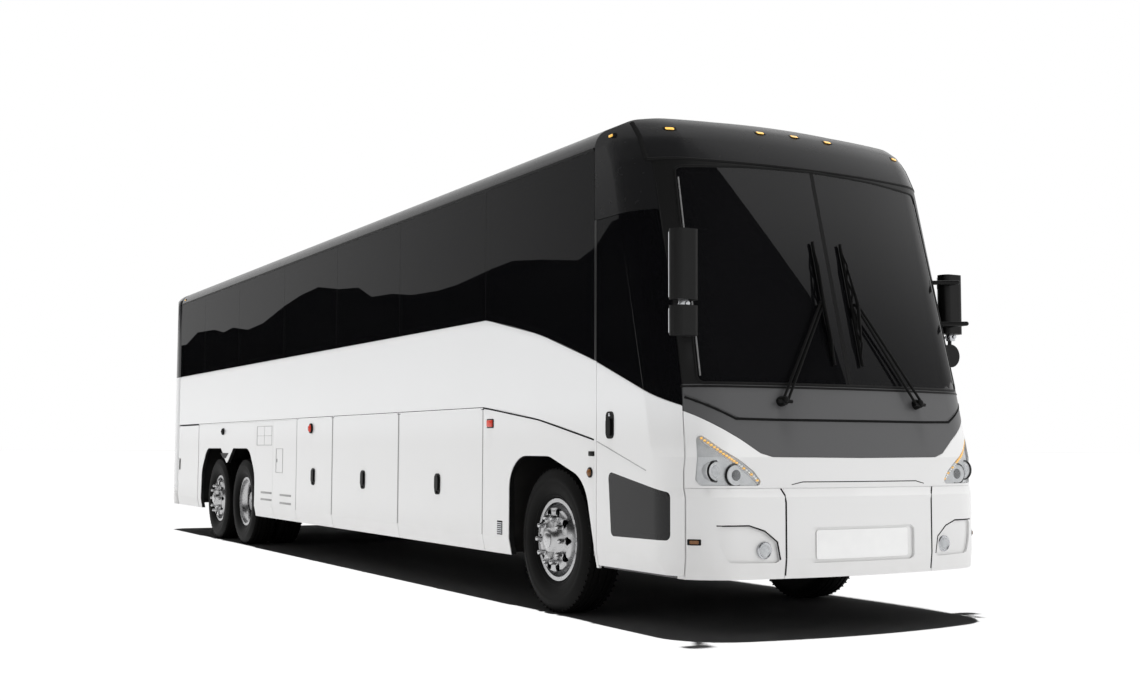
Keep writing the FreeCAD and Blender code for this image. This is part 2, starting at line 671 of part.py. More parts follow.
def entrance_arms():
    """Upright post inside the front corner, with the two arms that carry the door."""
    post = rod(V(ARM_POST_X, ARM_POST_D, STEP_TOP + FIT), V(ARM_POST_X, ARM_POST_D, NOSE_TOP - OVERRUN / 2),
               ARM_RADIUS)
    pieces = [post]
    hinge_d = ARM_POST_D + ARM_REACH
    for height in ARM_HEIGHTS:
        arm = box(ARM_POST_X - ARM_WIDE / 2, ARM_POST_X + ARM_WIDE / 2, ARM_POST_D, hinge_d,
                  height - ARM_TALL / 2, height + ARM_TALL / 2)
        eye = rod(V(ARM_POST_X, hinge_d, height - ARM_TALL / 2),
                  V(ARM_POST_X, hinge_d, height + ARM_TALL / 2), ARM_RADIUS)
        hole = rod(V(ARM_POST_X, hinge_d, height - ARM_TALL), V(ARM_POST_X, hinge_d, height + ARM_TALL),
                   ARM_PIN + FIT)
        pieces.append(fused([arm, eye]).cut(hole))
    return mirrored(fused(pieces))


def driver_corner_wall():
    """Left front corner between the character line and the belt, with the window frame above."""
    skin, core = FRONT_SHELL[:2]

    def area(shift):
        region = beside(1, shift).common(band(DOOR_LOW, DOOR_TOP - shift, PILLAR_B - shift))
        return region.cut(below_crease(shift))

    wall = fused([core.common(area(0)), skin.common(area(SEAM / 2)).common(below_belt(-SEAM / 2))])
    return wall.cut(core.common(door_inner(FRAME)))


def driver_window():
    """Pane of the driver's window."""
    half = SEAM / 2
    area = beside(1, half).common(band(DOOR_LOW, DOOR_TOP - half, PILLAR_B - half))
    return FRONT_SHELL[0].common(area).cut(below_belt(half))


def driver_corner_panel():
    """Left front corner below the character line."""
    def area(shift):
        region = beside(1, shift).common(band(SKIRT, DOOR_TOP, PILLAR_B - shift))
        return region.common(below_crease(-shift))

    return panel(FRONT_SHELL, area)


def door_post():
    """Narrow post behind the entrance door, on the right."""
    post = box(HALF - WALL, HALF, DOOR_REAR, PILLAR_B, SKIRT, DOOR_TOP)
    tuck = side_slab(DOOR_REAR, PILLAR_B, SKIRT, DOOR_TOP)
    return mirrored(post.common(tuck))


# Front

SCREEN_FOOT = 1109.0            # half widths of the windscreen
SCREEN_HEAD = 1054.0
SCREEN_SHOULDER = 565.0
SCREEN_HEAD_DROP = 44.0         # how far its top corners lie below the middle of its top edge
SCREEN_SHOULDER_DROP = 12.0
SCREEN_RADIUS = 45.0
SCREEN_LIP = 40.0
SCREEN_EDGE = 8.0               # strip between the windscreen and the roof front
GROOVE_OUTLINE = [(0.0, 1375.0), (870.0, 1385.0), (1036.0, 1465.0), (1145.0, 1523.0), (1300.0, 1600.0)]
MASK_OUTLINE = [(0.0, 1140.0), (690.0, 1145.0), (774.0, 1170.0), (893.0, 1254.0), (1113.0, 1389.0),
                (1300.0, 1500.0)]
LAMP_OUTLINE = [(1150.0, 1306.0), (1027.0, 1195.0), (905.0, 1116.0), (827.0, 1058.0), (752.0, 965.0),
                (1148.0, 965.0), (1168.0, 1000.0)]
LAMP_RADIUS = 25.0
BUMPER_SPLIT = 620.0
CHAMFER = 40.0


def both_sides(half_outline, top):
    """Outline across the whole front from its left half, closed at a height."""
    left = list(half_outline)
    right = [(-x, z) for x, z in reversed(left) if x > 0]
    return left + [(left[-1][0], top), (-left[-1][0], top)] + right


def screen_area(inset):
    """Region of the windscreen, set in from its edge."""
    top = SCREEN_TOP - SCREEN_EDGE - inset
    half = [(SCREEN_FOOT - inset, COWL + inset), (SCREEN_HEAD - inset, top - SCREEN_HEAD_DROP)]
    half += [(SCREEN_SHOULDER, top - SCREEN_SHOULDER_DROP), (0, top)]
    points = half + [(-x, z) for x, z in reversed(half[:-1])]
    return front_prism(points, -2 * OVERRUN, PILLAR_B, SCREEN_RADIUS)


def windscreen():
    """Two curved panes with a narrow strip between them."""
    whole = FRONT_SHELL[0].common(screen_area(SEAM / 2))
    half = SEAM / 2
    return group([whole.common(box(half, WIDTH, -OVERRUN, PILLAR_B, 0, HEIGHT)),
                  whole.common(box(-WIDTH, -half, -OVERRUN, PILLAR_B, 0, HEIGHT))])


def above_line(outline, shift):
    """Region of the front above a line across it."""
    points = both_sides([(x, z + shift) for x, z in outline], HEIGHT + OVERRUN)
    return front_prism(points, -2 * OVERRUN, PILLAR_B)


def screen_surround():
    """Pillars beside the windscreen and the cowl below it."""
    skin, core = FRONT_SHELL[:2]

    def area(shift):
        region = between(shift).common(band(SKIRT, SCREEN_TOP - shift))
        return region.common(above_line(GROOVE_OUTLINE, shift))

    inner = core.common(area(0)).cut(screen_area(SCREEN_LIP))
    outer = skin.common(area(SEAM / 2)).cut(screen_area(0))
    return fused([inner, outer])


def front_mask():
    """Dark band across the front between the cowl and the painted nose."""
    def area(shift):
        region = between(shift).common(band(SKIRT, SCREEN_TOP))
        return region.common(above_line(MASK_OUTLINE, shift)).cut(above_line(GROOVE_OUTLINE, -shift))

    return panel(FRONT_SHELL, area)


def lamp_area(side, inset):
    """Region of one headlamp cluster."""
    middle_x = sum(x for x, z in LAMP_OUTLINE) / len(LAMP_OUTLINE)
    middle_z = sum(z for x, z in LAMP_OUTLINE) / len(LAMP_OUTLINE)
    share = 1 - 2 * inset / (LAMP_OUTLINE[0][1] - LAMP_OUTLINE[4][1])
    points = [(side * (middle_x + (x - middle_x) * share), middle_z + (z - middle_z) * share) for x,
              z in LAMP_OUTLINE]
    return front_prism(points, -2 * OVERRUN, PILLAR_B, LAMP_RADIUS)


def front_panel():
    """Painted nose between the mask and the bumper, with an opening for each headlamp."""
    def area(shift):
        region = between(shift).common(band(BUMPER_TOP + shift, SCREEN_TOP))
        return region.cut(above_line(MASK_OUTLINE, -shift))

    nose = panel(FRONT_SHELL, area)
    return nose.cut([lamp_area(1, 0), lamp_area(-1, 0)])


LAMP_RECESS = 16.0
LAMP_BALL = 62.0
LAMP_PLACES = ((1070.0, 1055.0), (945.0, 1030.0))


def headlamps():
    """Lamp clusters: a dished housing in the nose with two round lamps each."""
    outer = front_envelope(LAMP_RECESS, SKIRT)
    inner = front_envelope(WALL, SKIRT)
    bowl = outer.cut(inner)
    lamps = []
    for side in (1, -1):
        housing = bowl.common(lamp_area(side, SEAM / 4))
        rounds = []
        for x, z in LAMP_PLACES:
            start = front_depth(x, z, LAMP_RECESS) - LAMP_RECESS / 2
            end = front_depth(x, z, WALL)
            rounds.append(rod(V(side * x, start, z), V(side * x, end, z), LAMP_BALL))
        lamps.append(fused([housing] + rounds))
    return group(lamps)


PLATE_HALF = 440.0
PLATE_LOW = 473.0
PLATE_HIGH = 699.0
RECESS = 18.0
FOG_OUTLINE = [(1073.0, 715.0), (870.0, 715.0), (765.0, 681.0), (677.0, 611.0), (655.0, 500.0),
               (680.0, 480.0),
               (1005.0, 486.0), (1058.0, 598.0)]
FOG_RADIUS = 46.0
FOG_PLACE = (760.0, 560.0)


def front_bumper():
    """Bumper in three pieces, with a recess for the plate and one for each fog lamp."""
    pieces = []
    for x0, x1 in ((-HALF, -BUMPER_SPLIT), (-BUMPER_SPLIT, BUMPER_SPLIT), (BUMPER_SPLIT, HALF)):
        def area(shift):
            region = between(shift).common(band(SKIRT, BUMPER_TOP - shift))
            return region.common(box(x0 + shift, x1 - shift, -2 * OVERRUN, PILLAR_B, 0, HEIGHT))

        pieces.append(panel(FRONT_SHELL, area))
    shallow = front_envelope(0, SKIRT - OVERRUN).cut(front_envelope(RECESS, SKIRT - 2 * OVERRUN))
    plate = [(-PLATE_HALF, PLATE_LOW), (PLATE_HALF, PLATE_LOW), (PLATE_HALF, PLATE_HIGH),
             (-PLATE_HALF, PLATE_HIGH)]
    cuts = [shallow.common(front_prism(plate, -2 * OVERRUN, PILLAR_B, CHAMFER))]
    for side in (1, -1):
        fog = [(side * x, z) for x, z in FOG_OUTLINE]
        cuts.append(shallow.common(front_prism(fog, -2 * OVERRUN, PILLAR_B, CHAMFER)))
    return group([piece.cut(cuts) for piece in pieces])


def fog_lamps():
    """Round lamps seated in the bumper's recesses."""
    lamps = []
    x, z = FOG_PLACE
    face = front_depth(x + FOG_RADIUS, z, RECESS) + FIT
    for side in (1, -1):
        lamp = rod(V(side * x, face - RECESS, z), V(side * x, face + WALL, z), FOG_RADIUS)
        lamps.append(lamp.cut(front_envelope(RECESS - FIT, SKIRT - OVERRUN)))
    return lamps


MARKER_HALF = 45.0
MARKER_TALL = 14.0
MARKER_SHARES = [(-1000.0, 0.89375), (-300.0, 0.921875), (0.0, 0.928125), (300.0, 0.921875),
                 (1000.0, 0.89375)]


def front_cap():
    """Roof front over the windscreen, door and driver's window, with pockets for its marker lamps."""
    def area(shift):
        top = HEIGHT + OVERRUN
        points = [(-WIDTH, DOOR_TOP + shift), (-POST_HEAD - shift, DOOR_TOP + shift),
                  (-POST_HEAD - shift, SCREEN_TOP + shift)]
        points += [(POST_HEAD + shift, SCREEN_TOP + shift), (POST_HEAD + shift, DOOR_TOP + shift),
                   (WIDTH, DOOR_TOP + shift)]
        points += [(WIDTH, top), (-WIDTH, top)]
        return front_prism(points, -2 * OVERRUN, PILLAR_B - shift)

    cap = panel(FRONT_SHELL, area)
    markers = []
    for x, share in MARKER_SHARES:
        z = BELT + share * UPPER
        front = front_depth(x, z)
        markers.append(box(x - MARKER_HALF, x + MARKER_HALF, front - OVERRUN, front + SKIN, z - MARKER_TALL,
                           z + MARKER_TALL))
    return cap.cut(markers)


# Roof

HATCH_SHARES = (0.241294, 0.689055)     # of the run of side glass
HATCHES = [PILLAR_B + share * GLASS_RUN for share in HATCH_SHARES]
HATCH_HALF = 300.0


def hatch_axis(d):
    """Distance back and height of the hinge at a hatch's front edge."""
    return d - HATCH_HALF - HINGE_EDGE, HEIGHT - KNUCKLE - PIN


def roof():
    """Roof between the front cap and the rear cap, with two hatch openings and their hinge pins."""
    bar = section_bar(0, SKIRT, PILLAR_B, REAR_CAP).cut(section_bar(WALL, SKIRT - OVERRUN, 0, LENGTH))
    shell = bar.common(box(-WIDTH, WIDTH, 0, LENGTH, CANTRAIL, HEIGHT + OVERRUN))
    pins = []
    for d in HATCHES:
        hinge_d, hinge_z = hatch_axis(d)
        hole = box(-HATCH_HALF - GAP, HATCH_HALF + GAP, hinge_d - HINGE_SEAT, d + HATCH_HALF + GAP, CANTRAIL,
                   HEIGHT + OVERRUN)
        shell = shell.cut(hole)
        pins.append(rod(V(-HATCH_HALF - 2 * GAP, hinge_d, hinge_z), V(HATCH_HALF + 2 * GAP, hinge_d, hinge_z),
                        PIN))
    return fused([shell] + pins)


def hatch(d):
    """Lid of a roof hatch, hung at its front edge."""
    bar = section_bar(0, SKIRT, PILLAR_B, REAR_CAP).cut(section_bar(WALL, SKIRT - OVERRUN, 0, LENGTH))
    lid = bar.common(box(-HATCH_HALF, HATCH_HALF, d - HATCH_HALF, d + HATCH_HALF, CANTRAIL, HEIGHT + OVERRUN))
    hinge_d, hinge_z = hatch_axis(d)
    sleeve = rod(V(-HATCH_HALF, hinge_d, hinge_z), V(HATCH_HALF, hinge_d, hinge_z), KNUCKLE)
    web = box(-HATCH_HALF, HATCH_HALF, hinge_d, d - HATCH_HALF, hinge_z - KNUCKLE, hinge_z)
    hole = rod(V(-WIDTH, hinge_d, hinge_z), V(WIDTH, hinge_d, hinge_z), PIN + FIT)
    return fused([lid, sleeve, web]).cut(hole)


# Rear

ENGINE_DOOR_HALF = 930.0
ENGINE_DOOR_LOW = 640.0
ENGINE_HINGE = 1760.0
REAR_WINDOW_LOW = BELT + 20.0
REAR_WINDOW_SHARE = 0.59375
REAR_WINDOW_HIGH = BELT + REAR_WINDOW_SHARE * UPPER
REAR_WINDOW = [(-930.0, REAR_WINDOW_LOW), (930.0, REAR_WINDOW_LOW), (860.0, REAR_WINDOW_HIGH),
               (-860.0, REAR_WINDOW_HIGH)]
REAR_WINDOW_RADIUS = 90.0
REAR_BUMPER_TOP = 620.0
REAR_LAMP_X = 1080.0
REAR_LAMP_RADIUS = 52.0
REAR_LAMP_HEIGHTS = (820.0, 960.0, 1100.0, 1240.0)


def rear_outline(points, inset):
    """Outline drawn in by an amount towards its middle."""
    middle_z = (points[0][1] + points[2][1]) / 2
    share_x = 1 - inset / points[1][0]
    share_z = 1 - 2 * inset / (points[2][1] - points[0][1])
    return [(x * share_x, middle_z + (z - middle_z) * share_z) for x, z in points]


def rear_hole(points, inset, radius=0.0):
    """Region behind the rear cap's seam inside an outline seen from behind."""
    return front_prism(rear_outline(points, inset), REAR_CAP + REAR_CORNER_RADIUS / 2, BODY_END + OVERRUN,
                       radius)


def rear_cap():
    """Rear of the body above the bumper, open for the engine door and the rear window."""
    skin, core = REAR_SHELL[:2]

    def area(shift):
        return box(-WIDTH, WIDTH, REAR_CAP + shift, BODY_END + OVERRUN, REAR_BUMPER_TOP + shift,
                   HEIGHT + OVERRUN)

    cap = panel(REAR_SHELL, area)
    edge = ENGINE_DOOR_HALF + GAP
    door = box(-edge, edge, BODY_END - REAR_CORNER_RADIUS, BODY_END + OVERRUN, ENGINE_DOOR_LOW - GAP,
               ENGINE_HINGE + HINGE_SEAT)
    cap = cap.cut(door)
    cap = cap.cut(skin.common(rear_hole(REAR_WINDOW, 0, REAR_WINDOW_RADIUS)))
    cap = cap.cut(core.common(rear_hole(REAR_WINDOW, SCREEN_LIP, REAR_WINDOW_RADIUS)))
    sockets = []
    for side in (1, -1):
        x = side * REAR_LAMP_X
        for z in REAR_LAMP_HEIGHTS:
            sockets.append(rod(V(x, BODY_END - WALL / 2, z), V(x, BODY_END + OVERRUN, z),
                               REAR_LAMP_RADIUS + FIT))
    return fused([cap.cut(sockets), engine_hinge()[0]])


def engine_hinge():
    """Pin and lugs on the rear cap, and the sleeve on the engine door."""
    half = ENGINE_DOOR_HALF
    z = ENGINE_HINGE
    back = BODY_END - WALL / 2
    pin = rod(V(-half, BODY_END, z), V(half, BODY_END, z), PIN)
    lugs = []
    for start, end in ((-half, LUG - half), (half - LUG, half)):
        lugs.append(rod(V(start, BODY_END, z), V(end, BODY_END, z), KNUCKLE))
        lugs.append(box(start, end, back, BODY_END, z, z + HINGE_SEAT))
    inner = half - LUG - GAP
    sleeve = rod(V(-inner, BODY_END, z), V(inner, BODY_END, z), KNUCKLE)
    web = box(-inner, inner, BODY_END - SKIN, BODY_END, z - HINGE_EDGE, z)
    hole = rod(V(-WIDTH, BODY_END, z), V(WIDTH, BODY_END, z), PIN + FIT)
    return fused([pin] + lugs), fused([sleeve, web]).cut(hole)


SLOTS = 12
SLOT_SHARE = 0.5        # of their pitch that is open
SLOT_EDGE = 120.0
SLOT_LOW = 90.0
SLOT_HIGH = 180.0


def engine_door():
    """Door over the engine with a field of slots, hung at its top edge."""
    leaf = box(-ENGINE_DOOR_HALF, ENGINE_DOOR_HALF, BODY_END - WALL, BODY_END, ENGINE_DOOR_LOW,
               ENGINE_HINGE - HINGE_EDGE)
    low = ENGINE_DOOR_LOW + SLOT_LOW
    pitch = (ENGINE_HINGE - SLOT_HIGH - low) / SLOTS
    half = ENGINE_DOOR_HALF - SLOT_EDGE
    slots = []
    for index in range(SLOTS):
        z = low + index * pitch
        slots.append(box(-half, half, BODY_END - 2 * WALL, BODY_END + WALL, z, z + SLOT_SHARE * pitch))
    return fused([leaf.cut(slots), engine_hinge()[1]])


def rear_window():
    """Curved pane over the engine door."""
    return REAR_SHELL[0].common(rear_hole(REAR_WINDOW, SEAM / 2, REAR_WINDOW_RADIUS))


def rear_bumper():
    """Bumper across the rear."""
    def area(shift):
        return box(-WIDTH, WIDTH, REAR_CAP + shift, BODY_END + OVERRUN, SKIRT - OVERRUN,
                   REAR_BUMPER_TOP - shift)

    return panel(REAR_SHELL, area)


def rear_lamps():
    """Round lamps down each side of the engine door."""
    return group(rod(V(side * REAR_LAMP_X, BODY_END - WALL / 2 + FIT, z), V(side * REAR_LAMP_X, LENGTH, z),
                     REAR_LAMP_RADIUS)
                 for side in (1, -1) for z in REAR_LAMP_HEIGHTS)


# Floor and frame

FLOOR_LOW = 1480.0
FLOOR_TOP = 1530.0
COCKPIT_FLOOR = 1080.0
PLATE = 40.0
BAY_FLOOR_LOW = 395.0
BAY_FLOOR_TOP = 445.0
BULKHEAD_BEHIND = 680.0         # from the front axle to the first bulkhead
BULKHEAD_AHEAD = 750.0          # of the drive axle, where the last bay ends
REAR_BULKHEAD_BEHIND = 765.0    # from the tag axle to the engine's bulkhead
BULKHEADS = [FRONT_AXLE + BULKHEAD_BEHIND] + BAY_SEAMS[1:] + [DRIVE_AXLE - BULKHEAD_AHEAD]
REAR_BULKHEAD = TAG_AXLE + REAR_BULKHEAD_BEHIND
INNER = HALF - WALL
STEP_DEPTH = 300.0
STEPS = 3
RISER = 20.0
STEP_FRONT = 390.0
RAIL_LOW = 430.0
RAIL_HIGH = 560.0
RAIL_X = 400.0
RAIL_HALF = 40.0
TOW_EYE = 260.0         # distance back of the tow eyes in the front rails
TOW_RADIUS = 25.0
BEAM_LOW = 900.0
BEAM_HIGH = 1040.0


def driver_floor():
    """Floor under the driver, as wide as the steps leave it."""
    step_edge = STEP_DEPTH * STEPS - INNER
    return box(step_edge, INNER, STEP_FRONT + CORNER_RADIUS / 2, PILLAR_B, COCKPIT_FLOOR - PLATE,
               COCKPIT_FLOOR)


def passenger_floor():
    """Floor of the saloon, the riser ahead of it and the driver's floor."""
    saloon = box(-INNER, INNER, PILLAR_B + PLATE, REAR_CAP, FLOOR_LOW, FLOOR_TOP)
    riser = box(-INNER, INNER, PILLAR_B, PILLAR_B + PLATE, COCKPIT_FLOOR - PLATE, FLOOR_TOP)
    nose_edge = POST_FOOT - CORNER_RADIUS / 2
    inner_front = front_depth(nose_edge, COCKPIT_FLOOR, WALL) + GAP
    step_edge = STEP_DEPTH * STEPS - INNER
    nose = box(step_edge, nose_edge, inner_front, STEP_FRONT + CORNER_RADIUS / 2,
               COCKPIT_FLOOR - PLATE, COCKPIT_FLOOR)
    return fused([saloon, riser, driver_floor(), nose])


def entrance_steps():
    """Treads and risers inside the door, hung from the edge of the driver's floor."""
    pieces = []
    rise = (COCKPIT_FLOOR - STEP_TOP) / STEPS
    for index in range(STEPS):
        x0 = -INNER + index * STEP_DEPTH + (SKIRT_TUCK + 2 * GAP if index == 0 else 0)
        x1 = -INNER + (index + 1) * STEP_DEPTH
        z = STEP_TOP + index * rise
        pieces.append(box(x0, x1 + RISER, STEP_FRONT, PILLAR_B, z - RISER, z))
        top = min(z + rise, COCKPIT_FLOOR - PLATE)
        pieces.append(box(x1, x1 + RISER, STEP_FRONT, PILLAR_B, z - RISER, top))
    return fused(pieces)


def bulkhead(d):
    """Wall across the bus between two luggage bays."""
    tuck = SKIRT_TUCK * (SILL - BAY_FLOOR_TOP) / (SILL - SKIRT)
    outline = [(tuck - INNER, BAY_FLOOR_TOP), (INNER - tuck, BAY_FLOOR_TOP), (INNER, SILL),
               (INNER, FLOOR_LOW)]
    outline += [(-INNER, FLOOR_LOW), (-INNER, SILL)]
    return front_prism(outline, d - PLATE / 2, d + PLATE / 2)


def bay_floor():
    """Floor of the luggage bays."""
    half = INNER - 2 * SKIRT_TUCK
    return box(-half, half, BULKHEADS[0] - PLATE / 2, BULKHEADS[-1] + PLATE / 2, BAY_FLOOR_LOW, BAY_FLOOR_TOP)


def frame_rails():
    """Rails of the front and of the engine's cradle, and the beams over the axles."""
    front_end = front_depth(RAIL_X + RAIL_HALF, RAIL_LOW, WALL) + GAP
    half = PLATE / 2
    leg = PILLAR_B + FIT
    rails = []
    for side in (1, -1):
        x0 = side * RAIL_X - RAIL_HALF
        x1 = side * RAIL_X + RAIL_HALF
        # the front rails stop ahead of the wheels and step up over the axle
        low = box(x0, x1, front_end, leg + PLATE, RAIL_LOW, RAIL_HIGH)
        post = box(x0, x1, leg, leg + PLATE, RAIL_HIGH, BEAM_HIGH)
        high = box(x0, x1, leg, BULKHEADS[0] - half, BEAM_LOW, BEAM_HIGH)
        rails.append(fused([low, post, high]))
        rails.append(box(x0, x1, BULKHEADS[-1] + half, REAR_BULKHEAD - half, BEAM_LOW, BEAM_HIGH))
        rails.append(box(x0, x1, REAR_BULKHEAD + half, BODY_END - 2 * WALL - GAP, RAIL_LOW, RAIL_HIGH))
    tow_z = (RAIL_LOW + RAIL_HIGH) / 2
    eyes = rod(V(-HALF, TOW_EYE, tow_z), V(HALF, TOW_EYE, tow_z), TOW_RADIUS)
    return group(rail.cut(eyes) for rail in rails)


HOUSING_REACH = 620.0
HOUSING_INNER = 560.0
HOUSING_TOP = 1180.0
HOUSING_WALL = 20.0


def wheel_housings():
    """Boxes over the wheels, open below and at the side, and low down towards the axles."""
    pieces = []
    rear_start = DRIVE_AXLE - REAR_ARCH_REACH
    rear_end = TAG_AXLE + REAR_ARCH_REACH
    runs = [(FRONT_AXLE - HOUSING_REACH, FRONT_AXLE + HOUSING_REACH, HOUSING_INNER),
            (rear_start, rear_end, HOUSING_INNER)]
    for start, end, inner in runs:
        outer = box(inner - HOUSING_WALL, INNER, start - HOUSING_WALL, end + HOUSING_WALL, SILL,
                    HOUSING_TOP + HOUSING_WALL)
        hollow = box(inner, WIDTH, start, end, 0, HOUSING_TOP)
        gate = box(0, WIDTH, start, end, 0, BEAM_LOW)
        one = outer.cut([hollow, gate])
        pieces += [one, mirrored(one)]
    return group(pieces)


ENGINE_HALF = 480.0
ENGINE_TOP = 1380.0
ENGINE_CLEAR = 270.0    # between the engine and the rear


def engine():
    """Engine and gearbox as one plain block on the rear cradle."""
    return box(-ENGINE_HALF, ENGINE_HALF, REAR_BULKHEAD + 2 * PLATE, BODY_END - ENGINE_CLEAR, RAIL_HIGH,
               ENGINE_TOP)


# Axles

HUB_BORE = 50.0
KINGPIN_X = 985.0
KINGPIN = 25.0
BEAM_TALL = 100.0
BEAM_WIDE = 120.0
EYE = 48.0
EYE_HALF = 60.0
YOKE = 30.0
SPINDLE_END = 1262.0
BELLOWS = 130.0
BELLOWS_FOLDS = 3
BELLOWS_PLATE = 10.0
BELLOWS_PLATE_SHARE = 0.7       # radius of an end plate, in that of a fold
BELLOWS_NECK_SHARE = 0.82
STEERING_ARM = 190.0
TWIN_HUB_REACH = 185.0  # from the twin wheels' joint to the end of the axle inside their hub


def bellows(x, d, low, high):
    """Air spring between an axle and the frame."""
    rise = (high - low - 2 * BELLOWS_PLATE) / BELLOWS_FOLDS
    neck = BELLOWS_NECK_SHARE * BELLOWS
    plate = BELLOWS_PLATE_SHARE * BELLOWS
    profile = [(0, low), (plate, low), (plate, low + BELLOWS_PLATE)]
    for index in range(BELLOWS_FOLDS):
        z = low + BELLOWS_PLATE + index * rise
        profile += [(neck, z), (BELLOWS, z + rise / 2)]
    profile += [(neck, high - BELLOWS_PLATE), (plate, high - BELLOWS_PLATE), (plate, high), (0, high)]
    wire = Part.makePolygon([V(x + r, d, z) for r, z in profile] + [V(x + profile[0][0], d, profile[0][1])])
    return Part.Face(wire).revolve(V(x, d, 0), V(0, 0, 1), 360)


def front_axle():
    """Dropped beam with an eye at each end for the kingpin, and the air springs on it."""
    z = TYRE_RADIUS
    half = KINGPIN_X - EYE / 2
    beam = box(-half, half, FRONT_AXLE - BEAM_WIDE / 2, FRONT_AXLE + BEAM_WIDE / 2, z - BEAM_TALL / 2,
               z + BEAM_TALL / 2)
    pieces = [beam]
    for side in (1, -1):
        pieces.append(rod(V(side * KINGPIN_X, FRONT_AXLE, z - EYE_HALF),
                          V(side * KINGPIN_X, FRONT_AXLE, z + EYE_HALF), EYE))
        pieces.append(bellows(side * RAIL_X, FRONT_AXLE, z + BEAM_TALL / 2, BEAM_LOW))
    axle = fused(pieces)
    holes = []
    for side in (1, -1):
        x = side * KINGPIN_X
        holes.append(rod(V(x, FRONT_AXLE, z - 2 * EYE_HALF), V(x, FRONT_AXLE, z + 2 * EYE_HALF),
                         KINGPIN + FIT / 3))
    return axle.cut(holes)


def knuckle():
    """Left steering knuckle: fork on the kingpin, spindle for the wheel and a steering arm."""
    z = TYRE_RADIUS
    outer = KINGPIN_X + EYE + GAP
    pin = rod(V(KINGPIN_X, FRONT_AXLE, z - EYE_HALF - YOKE), V(KINGPIN_X, FRONT_AXLE, z + EYE_HALF + YOKE),
              KINGPIN)
    pieces = [pin]
    for low in (z + EYE_HALF + FIT, z - EYE_HALF - FIT - YOKE):
        pieces.append(rod(V(KINGPIN_X, FRONT_AXLE, low), V(KINGPIN_X, FRONT_AXLE, low + YOKE), EYE))
        pieces.append(box(KINGPIN_X, outer + YOKE, FRONT_AXLE - EYE, FRONT_AXLE + EYE, low, low + YOKE))
    pieces.append(box(outer, outer + YOKE, FRONT_AXLE - EYE, FRONT_AXLE + EYE, z - EYE_HALF - YOKE,
                      z + EYE_HALF + YOKE))
    pieces.append(rod(V(outer, FRONT_AXLE, z), V(SPINDLE_END, FRONT_AXLE, z), HUB_BORE - FIT / 3))
    arm_low = z - EYE_HALF - FIT - YOKE
    pieces.append(box(KINGPIN_X - YOKE, KINGPIN_X + YOKE, FRONT_AXLE, FRONT_AXLE + STEERING_ARM, arm_low,
                      arm_low + YOKE))
    return fused(pieces)


def rear_beam(d, radius, bowl, twin):
    """Axle across the bus with its spindles and the air springs on it."""
    z = TYRE_RADIUS
    inner = TYRE_CENTRE - TWIN_SPACING if twin else TYRE_CENTRE
    face = inner - TYRE_WIDTH / 2 - GAP
    end = (inner + TYRE_CENTRE) / 2 + TWIN_HUB_REACH - FIT if twin else SPINDLE_END
    spindle = HUB_BORE - FIT / 3
    half = [(end, 0), (end, spindle), (face, spindle), (face, radius)]
    if bowl:
        half += [(bowl * across, radius + (bowl - radius) * up) for across, up in BOWL_SHARES]
    profile = half + [(-x, r) for x, r in reversed(half)]
    pieces = [turned(profile, d, z)]
    for side in (1, -1):
        seat = z + radius + SEAT_PLATE
        pieces.append(box(side * RAIL_X - RAIL_HALF * 2, side * RAIL_X + RAIL_HALF * 2, d - radius,
                          d + radius, z, seat))
        pieces.append(bellows(side * RAIL_X, d, seat, BEAM_LOW))
    return fused(pieces)


DRIVE_BEAM = 90.0
DIFFERENTIAL = 220.0
TAG_BEAM = 70.0
BOWL_SHARES = [(1.15, 0.0), (0.92, 0.55), (0.62, 0.88), (0.25, 1.0)]
SEAT_PLATE = 12.0       # pad on top of a rear axle under its air spring

# Wheels

TYRE_SHARES = [(0.9, 0.16), (1.0, 0.42), (0.97, 0.66), (0.8, 0.96), (0.62, 1.0)]


def tyre_profile(centre):
    """Section of a tyre in (across, radius)."""
    half = TYRE_WIDTH / 2
    tall = TYRE_RADIUS - BEAD_RADIUS
    bead = half * BEAD_SHARE
    out = [(bead, BEAD_RADIUS), (bead, RIM_LIP + FIT)] + [(half * a, BEAD_RADIUS + tall * b) for a,
                                                          b in TYRE_SHARES]
    return [(centre + a, b) for a, b in out] + [(centre - a, b) for a, b in reversed(out)]


RIM_THICK = 14.0
RIM_WELL = 252.0
WELL_SHARES = (0.55, 0.45, 0.4, 0.6)    # of a bead's place across, where the well begins and ends
KNEE_SHARE = 0.88       # of the well's radius, where the disc turns to the hub face
BEND_SHARE = 0.82
DISC_THICK = 22.0
HUB_RADIUS = 150.0
HUB_CAP = 92.0
HAND_HOLES = 10
HAND_HOLE_RADIUS = 31.0
HAND_HOLE_CIRCLE = 205.0


def rim_barrel(centre):
    """Section of a rim in (across, radius), with its two lips outside the beads."""
    seat = BEAD_RADIUS - FIT
    bead = TYRE_WIDTH / 2 * BEAD_SHARE + FIT
    lip = bead + RIM_THICK
    outer_start, outer_end, inner_end, inner_start = (bead * share for share in WELL_SHARES)
    half = [(lip, RIM_LIP), (bead, RIM_LIP), (bead, seat), (outer_start, seat),
            (outer_end, RIM_WELL + RIM_THICK)]
    inner = [(inner_end, RIM_WELL), (inner_start, seat - RIM_THICK), (lip, seat - RIM_THICK)]
    outer_left = [(centre - x, r) for x, r in half]
    outer_right = [(centre + x, r) for x, r in reversed(half)]
    inner_right = [(centre + x, r) for x, r in reversed(inner)]
    inner_left = [(centre - x, r) for x, r in inner]
    return outer_left + outer_right + inner_right + inner_left


